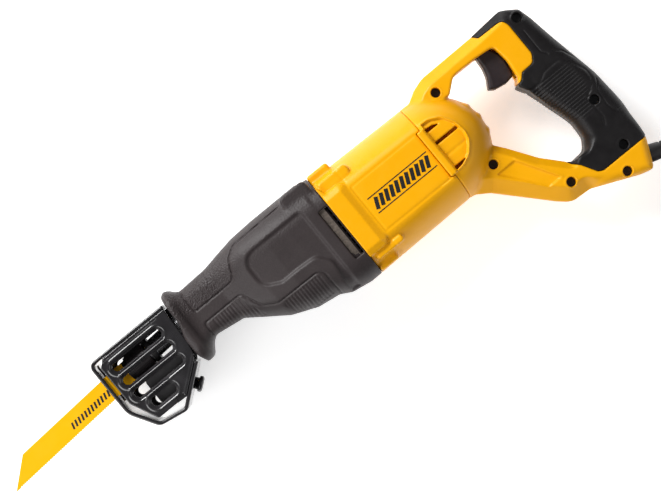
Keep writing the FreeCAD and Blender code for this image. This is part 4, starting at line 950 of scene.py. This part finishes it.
def make_repeats():
    row, ring, screws = row_pattern(), ring_pattern(), screw_pattern()
    ink = moulded("print_ink", (0.012, 0.012, 0.012), 0.4, 1800, 0.00002, 0.2)
    screws.grow("handle_screw_heads", "screw_steel", stands_for=("handle_screws",),
                points=[spot(90 + x, y, 9.5) for x, y in SCREW_PLACES], Radius=3.6 * MM, Height=3.0 * MM)
    for side, sign in (("left", 1), ("right", -1)):
        face = sign * (FLAT_REACH - 0.22)
        row.grow(f"side_stripes_{side}", "dark_plastic", paint=ink, Count=11, Start=spot(30, -1.7, face),
                 Step=(4.95 * MM, 0, 0), Size=(3.1 * MM, 9.6 * MM, 0.3 * MM), Lean=(0, 0, -0.42))
        row.grow(f"side_rules_{side}", "dark_plastic", paint=ink, Count=2, Start=spot(54.7, -8.5, face),
                 Step=(0, 13.5 * MM, 0), Size=(57.5 * MM, 0.8 * MM, 0.3 * MM), Lean=(0, 0, 0))
        start = on_line(180, -1.5, sign * 0.62)
        row.grow(f"blade_stripes_{side}", "dark_plastic", "plunger", paint=ink, Count=12, Start=spot(*start),
                 Step=(-3.4 * MM * math.cos(LINE_DIP), -3.4 * MM * math.sin(LINE_DIP), 0),
                 Size=(1.7 * MM, 5.5 * MM, 0.06 * MM), Lean=(0, 0, LINE_DIP - 0.35))
    row.grow("air_outlet_slats", "dark_plastic", Count=8, Start=spot(-2.8, -21, 0), Step=(0, 5.6 * MM, 0),
             Size=(2.6 * MM, 1.0 * MM, 66 * MM), Lean=(0, 0, 0))
    middle = on_line(144)
    ring.grow("collar_knurl", "dark_steel", "collar", Count=40, Radius=11.5 * MM, Place=spot(*middle),
              Size=(0.7 * MM, 0.9 * MM, 14 * MM), Axis=(0, math.pi / 2, LINE_DIP))
    ring.grow("commutator_bars", "copper", "armature", Count=24, Radius=11.7 * MM, Place=spot(75, AXIS_Y, 0),
              Size=(0.9 * MM, 2.5 * MM, 13 * MM), Axis=(0, math.pi / 2, 0))


# ---- wire, guard and plug ------------------------------------------------------------------------------------
def make_clamp_spring():
    steps, turns = 16, 3
    points = []
    for k in range(steps * turns + 1):
        angle = 2 * math.pi * k / steps
        ahead = 131.2 + 4.0 * k / (steps * turns)
        points.append(spot(*on_line(ahead, 10.0 * math.cos(angle), 10.0 * math.sin(angle))))
    points.append(spot(*on_line(138, 12.8, 2.2)))
    points.append(spot(*on_line(144, 13.6, 2.2)))
    wire = round_wire("clamp_spring_start", points, 0.55 * MM, 4)
    finish_piece(plain_piece("clamp_spring", wire), "ground_steel", "plunger")


def make_guard():
    profile = [(0, 8.5), (0.4, 9.0), (2.6, 9.0), (3, 8.5), (3.2, 7.5)]
    for k in range(7):
        start = 15 + 4.0 * k
        radius = 7.5 - 2.0 * start / 45
        profile += [(start, radius), (start + 0.5, radius - 0.8), (start + 1.3, radius - 0.8),
                    (start + 1.8, radius - 0.1)]
    profile += [(44.2, 5.5), (45, 4.7)]
    turn = math.radians(-20)
    piece = turned("lead_guard", profile, (214, -104, 0), (math.cos(turn), math.sin(turn), 0))
    return finish_piece(piece, "cord_rubber", stands_for=("cord_guard",))


def make_plug():
    body = drawn(((242, -248, 4), (280, -248, 8), (280, -222, 8), (242, -222, 4)))

    def field(x, y, z):
        f = thick(body(x, y), z + 8, 8.0, 3.5)
        f = f + 0.5 * (0.5 + 0.5 * np.cos(2 * math.pi * x / 3.0)) * fade(252, 256, x) * fade(274, 270, x) \
            * fade(5, 7, np.abs(y + 235))
        f = f + groove(x - 246 + 0 * y, 0.6, 0.5)
        return f

    piece = moulding("plug_shell", field, (240, -249, -17), (282, -221, 1), 0.75)
    profile = [(0, 6.2), (2, 6.2), (3, 5.2)]
    for k in range(5):
        start = 5 + 3.6 * k
        profile += [(start, 5.2), (start + 0.5, 4.6), (start + 1.2, 4.6), (start + 1.7, 5.1)]
    profile += [(23.4, 5.0), (24, 4.4)]
    sleeve = turned("plug_sleeve", profile, (280, -235, -10), (1, 0, 0))
    finish_piece(piece, "cord_rubber", stands_for=("plug_body",))
    return piece, finish_piece(sleeve, "cord_rubber")


def make_tie():
    """A rubber strap round the coil's bundle."""
    middle, height = (264 - 40 * math.cos(0.6), -195 + 40 * math.sin(0.6)), -27.6
    out = (math.cos(math.pi - 0.6), math.sin(math.pi - 0.6))

    def field(x, y, z):
        dx, dy = x - middle[0], y - middle[1]
        radial, along = dx * out[0] + dy * out[1], dy * out[0] - dx * out[1]
        band = brick(radial, z - height, 0 * radial, (-12.8, -12.3, -9), (12.8, 12.3, 9), 4.0)
        return both(np.abs(band + 0.5) - 0.5, np.abs(along) - 3.2, 0.4)

    low = (middle[0] - 15, middle[1] - 15, -40.4)
    high = (middle[0] + 15, middle[1] + 15, -14)
    return finish_piece(moulding("coil_strap", field, low, high, 0.55), "seal_rubber")


def make_rivet():
    profile = [(-1.5, 3.0), (1.5, 3.0), (1.6, 4.6), (4.3, 4.8), (4.5, 6.0), (5.2, 6.4), (6.8, 6.4), (7.7, 5.7),
               (8.2, 4.2), (8.2, 1.0)]
    piece = turned("shoe_rivet_head", profile, (PIVOT[0] - 5, PIVOT[1] - 22, 0), (0.625, -0.78, 0))
    finish_piece(piece, "black_steel", "shoe", ("shoe_rivet",))


lead = round_wire("mains_lead", lead_line(), LEAD / 2, 6)
guard = make_guard()
plug, sleeve = make_plug()
tie = make_tie()
finish_piece(lead, "cord_rubber", stands_for=("cord_tube", "cord_coil"))
make_boot()
make_motor_shell()
make_handle()
make_trigger()
make_shoe()
make_rivet()
make_repeats()
make_clamp_spring()

for name, node in frame["nodes"].items():
    for slot in node.material_slots:
        slot.material = FINISH[SLOT_OF[name]].material
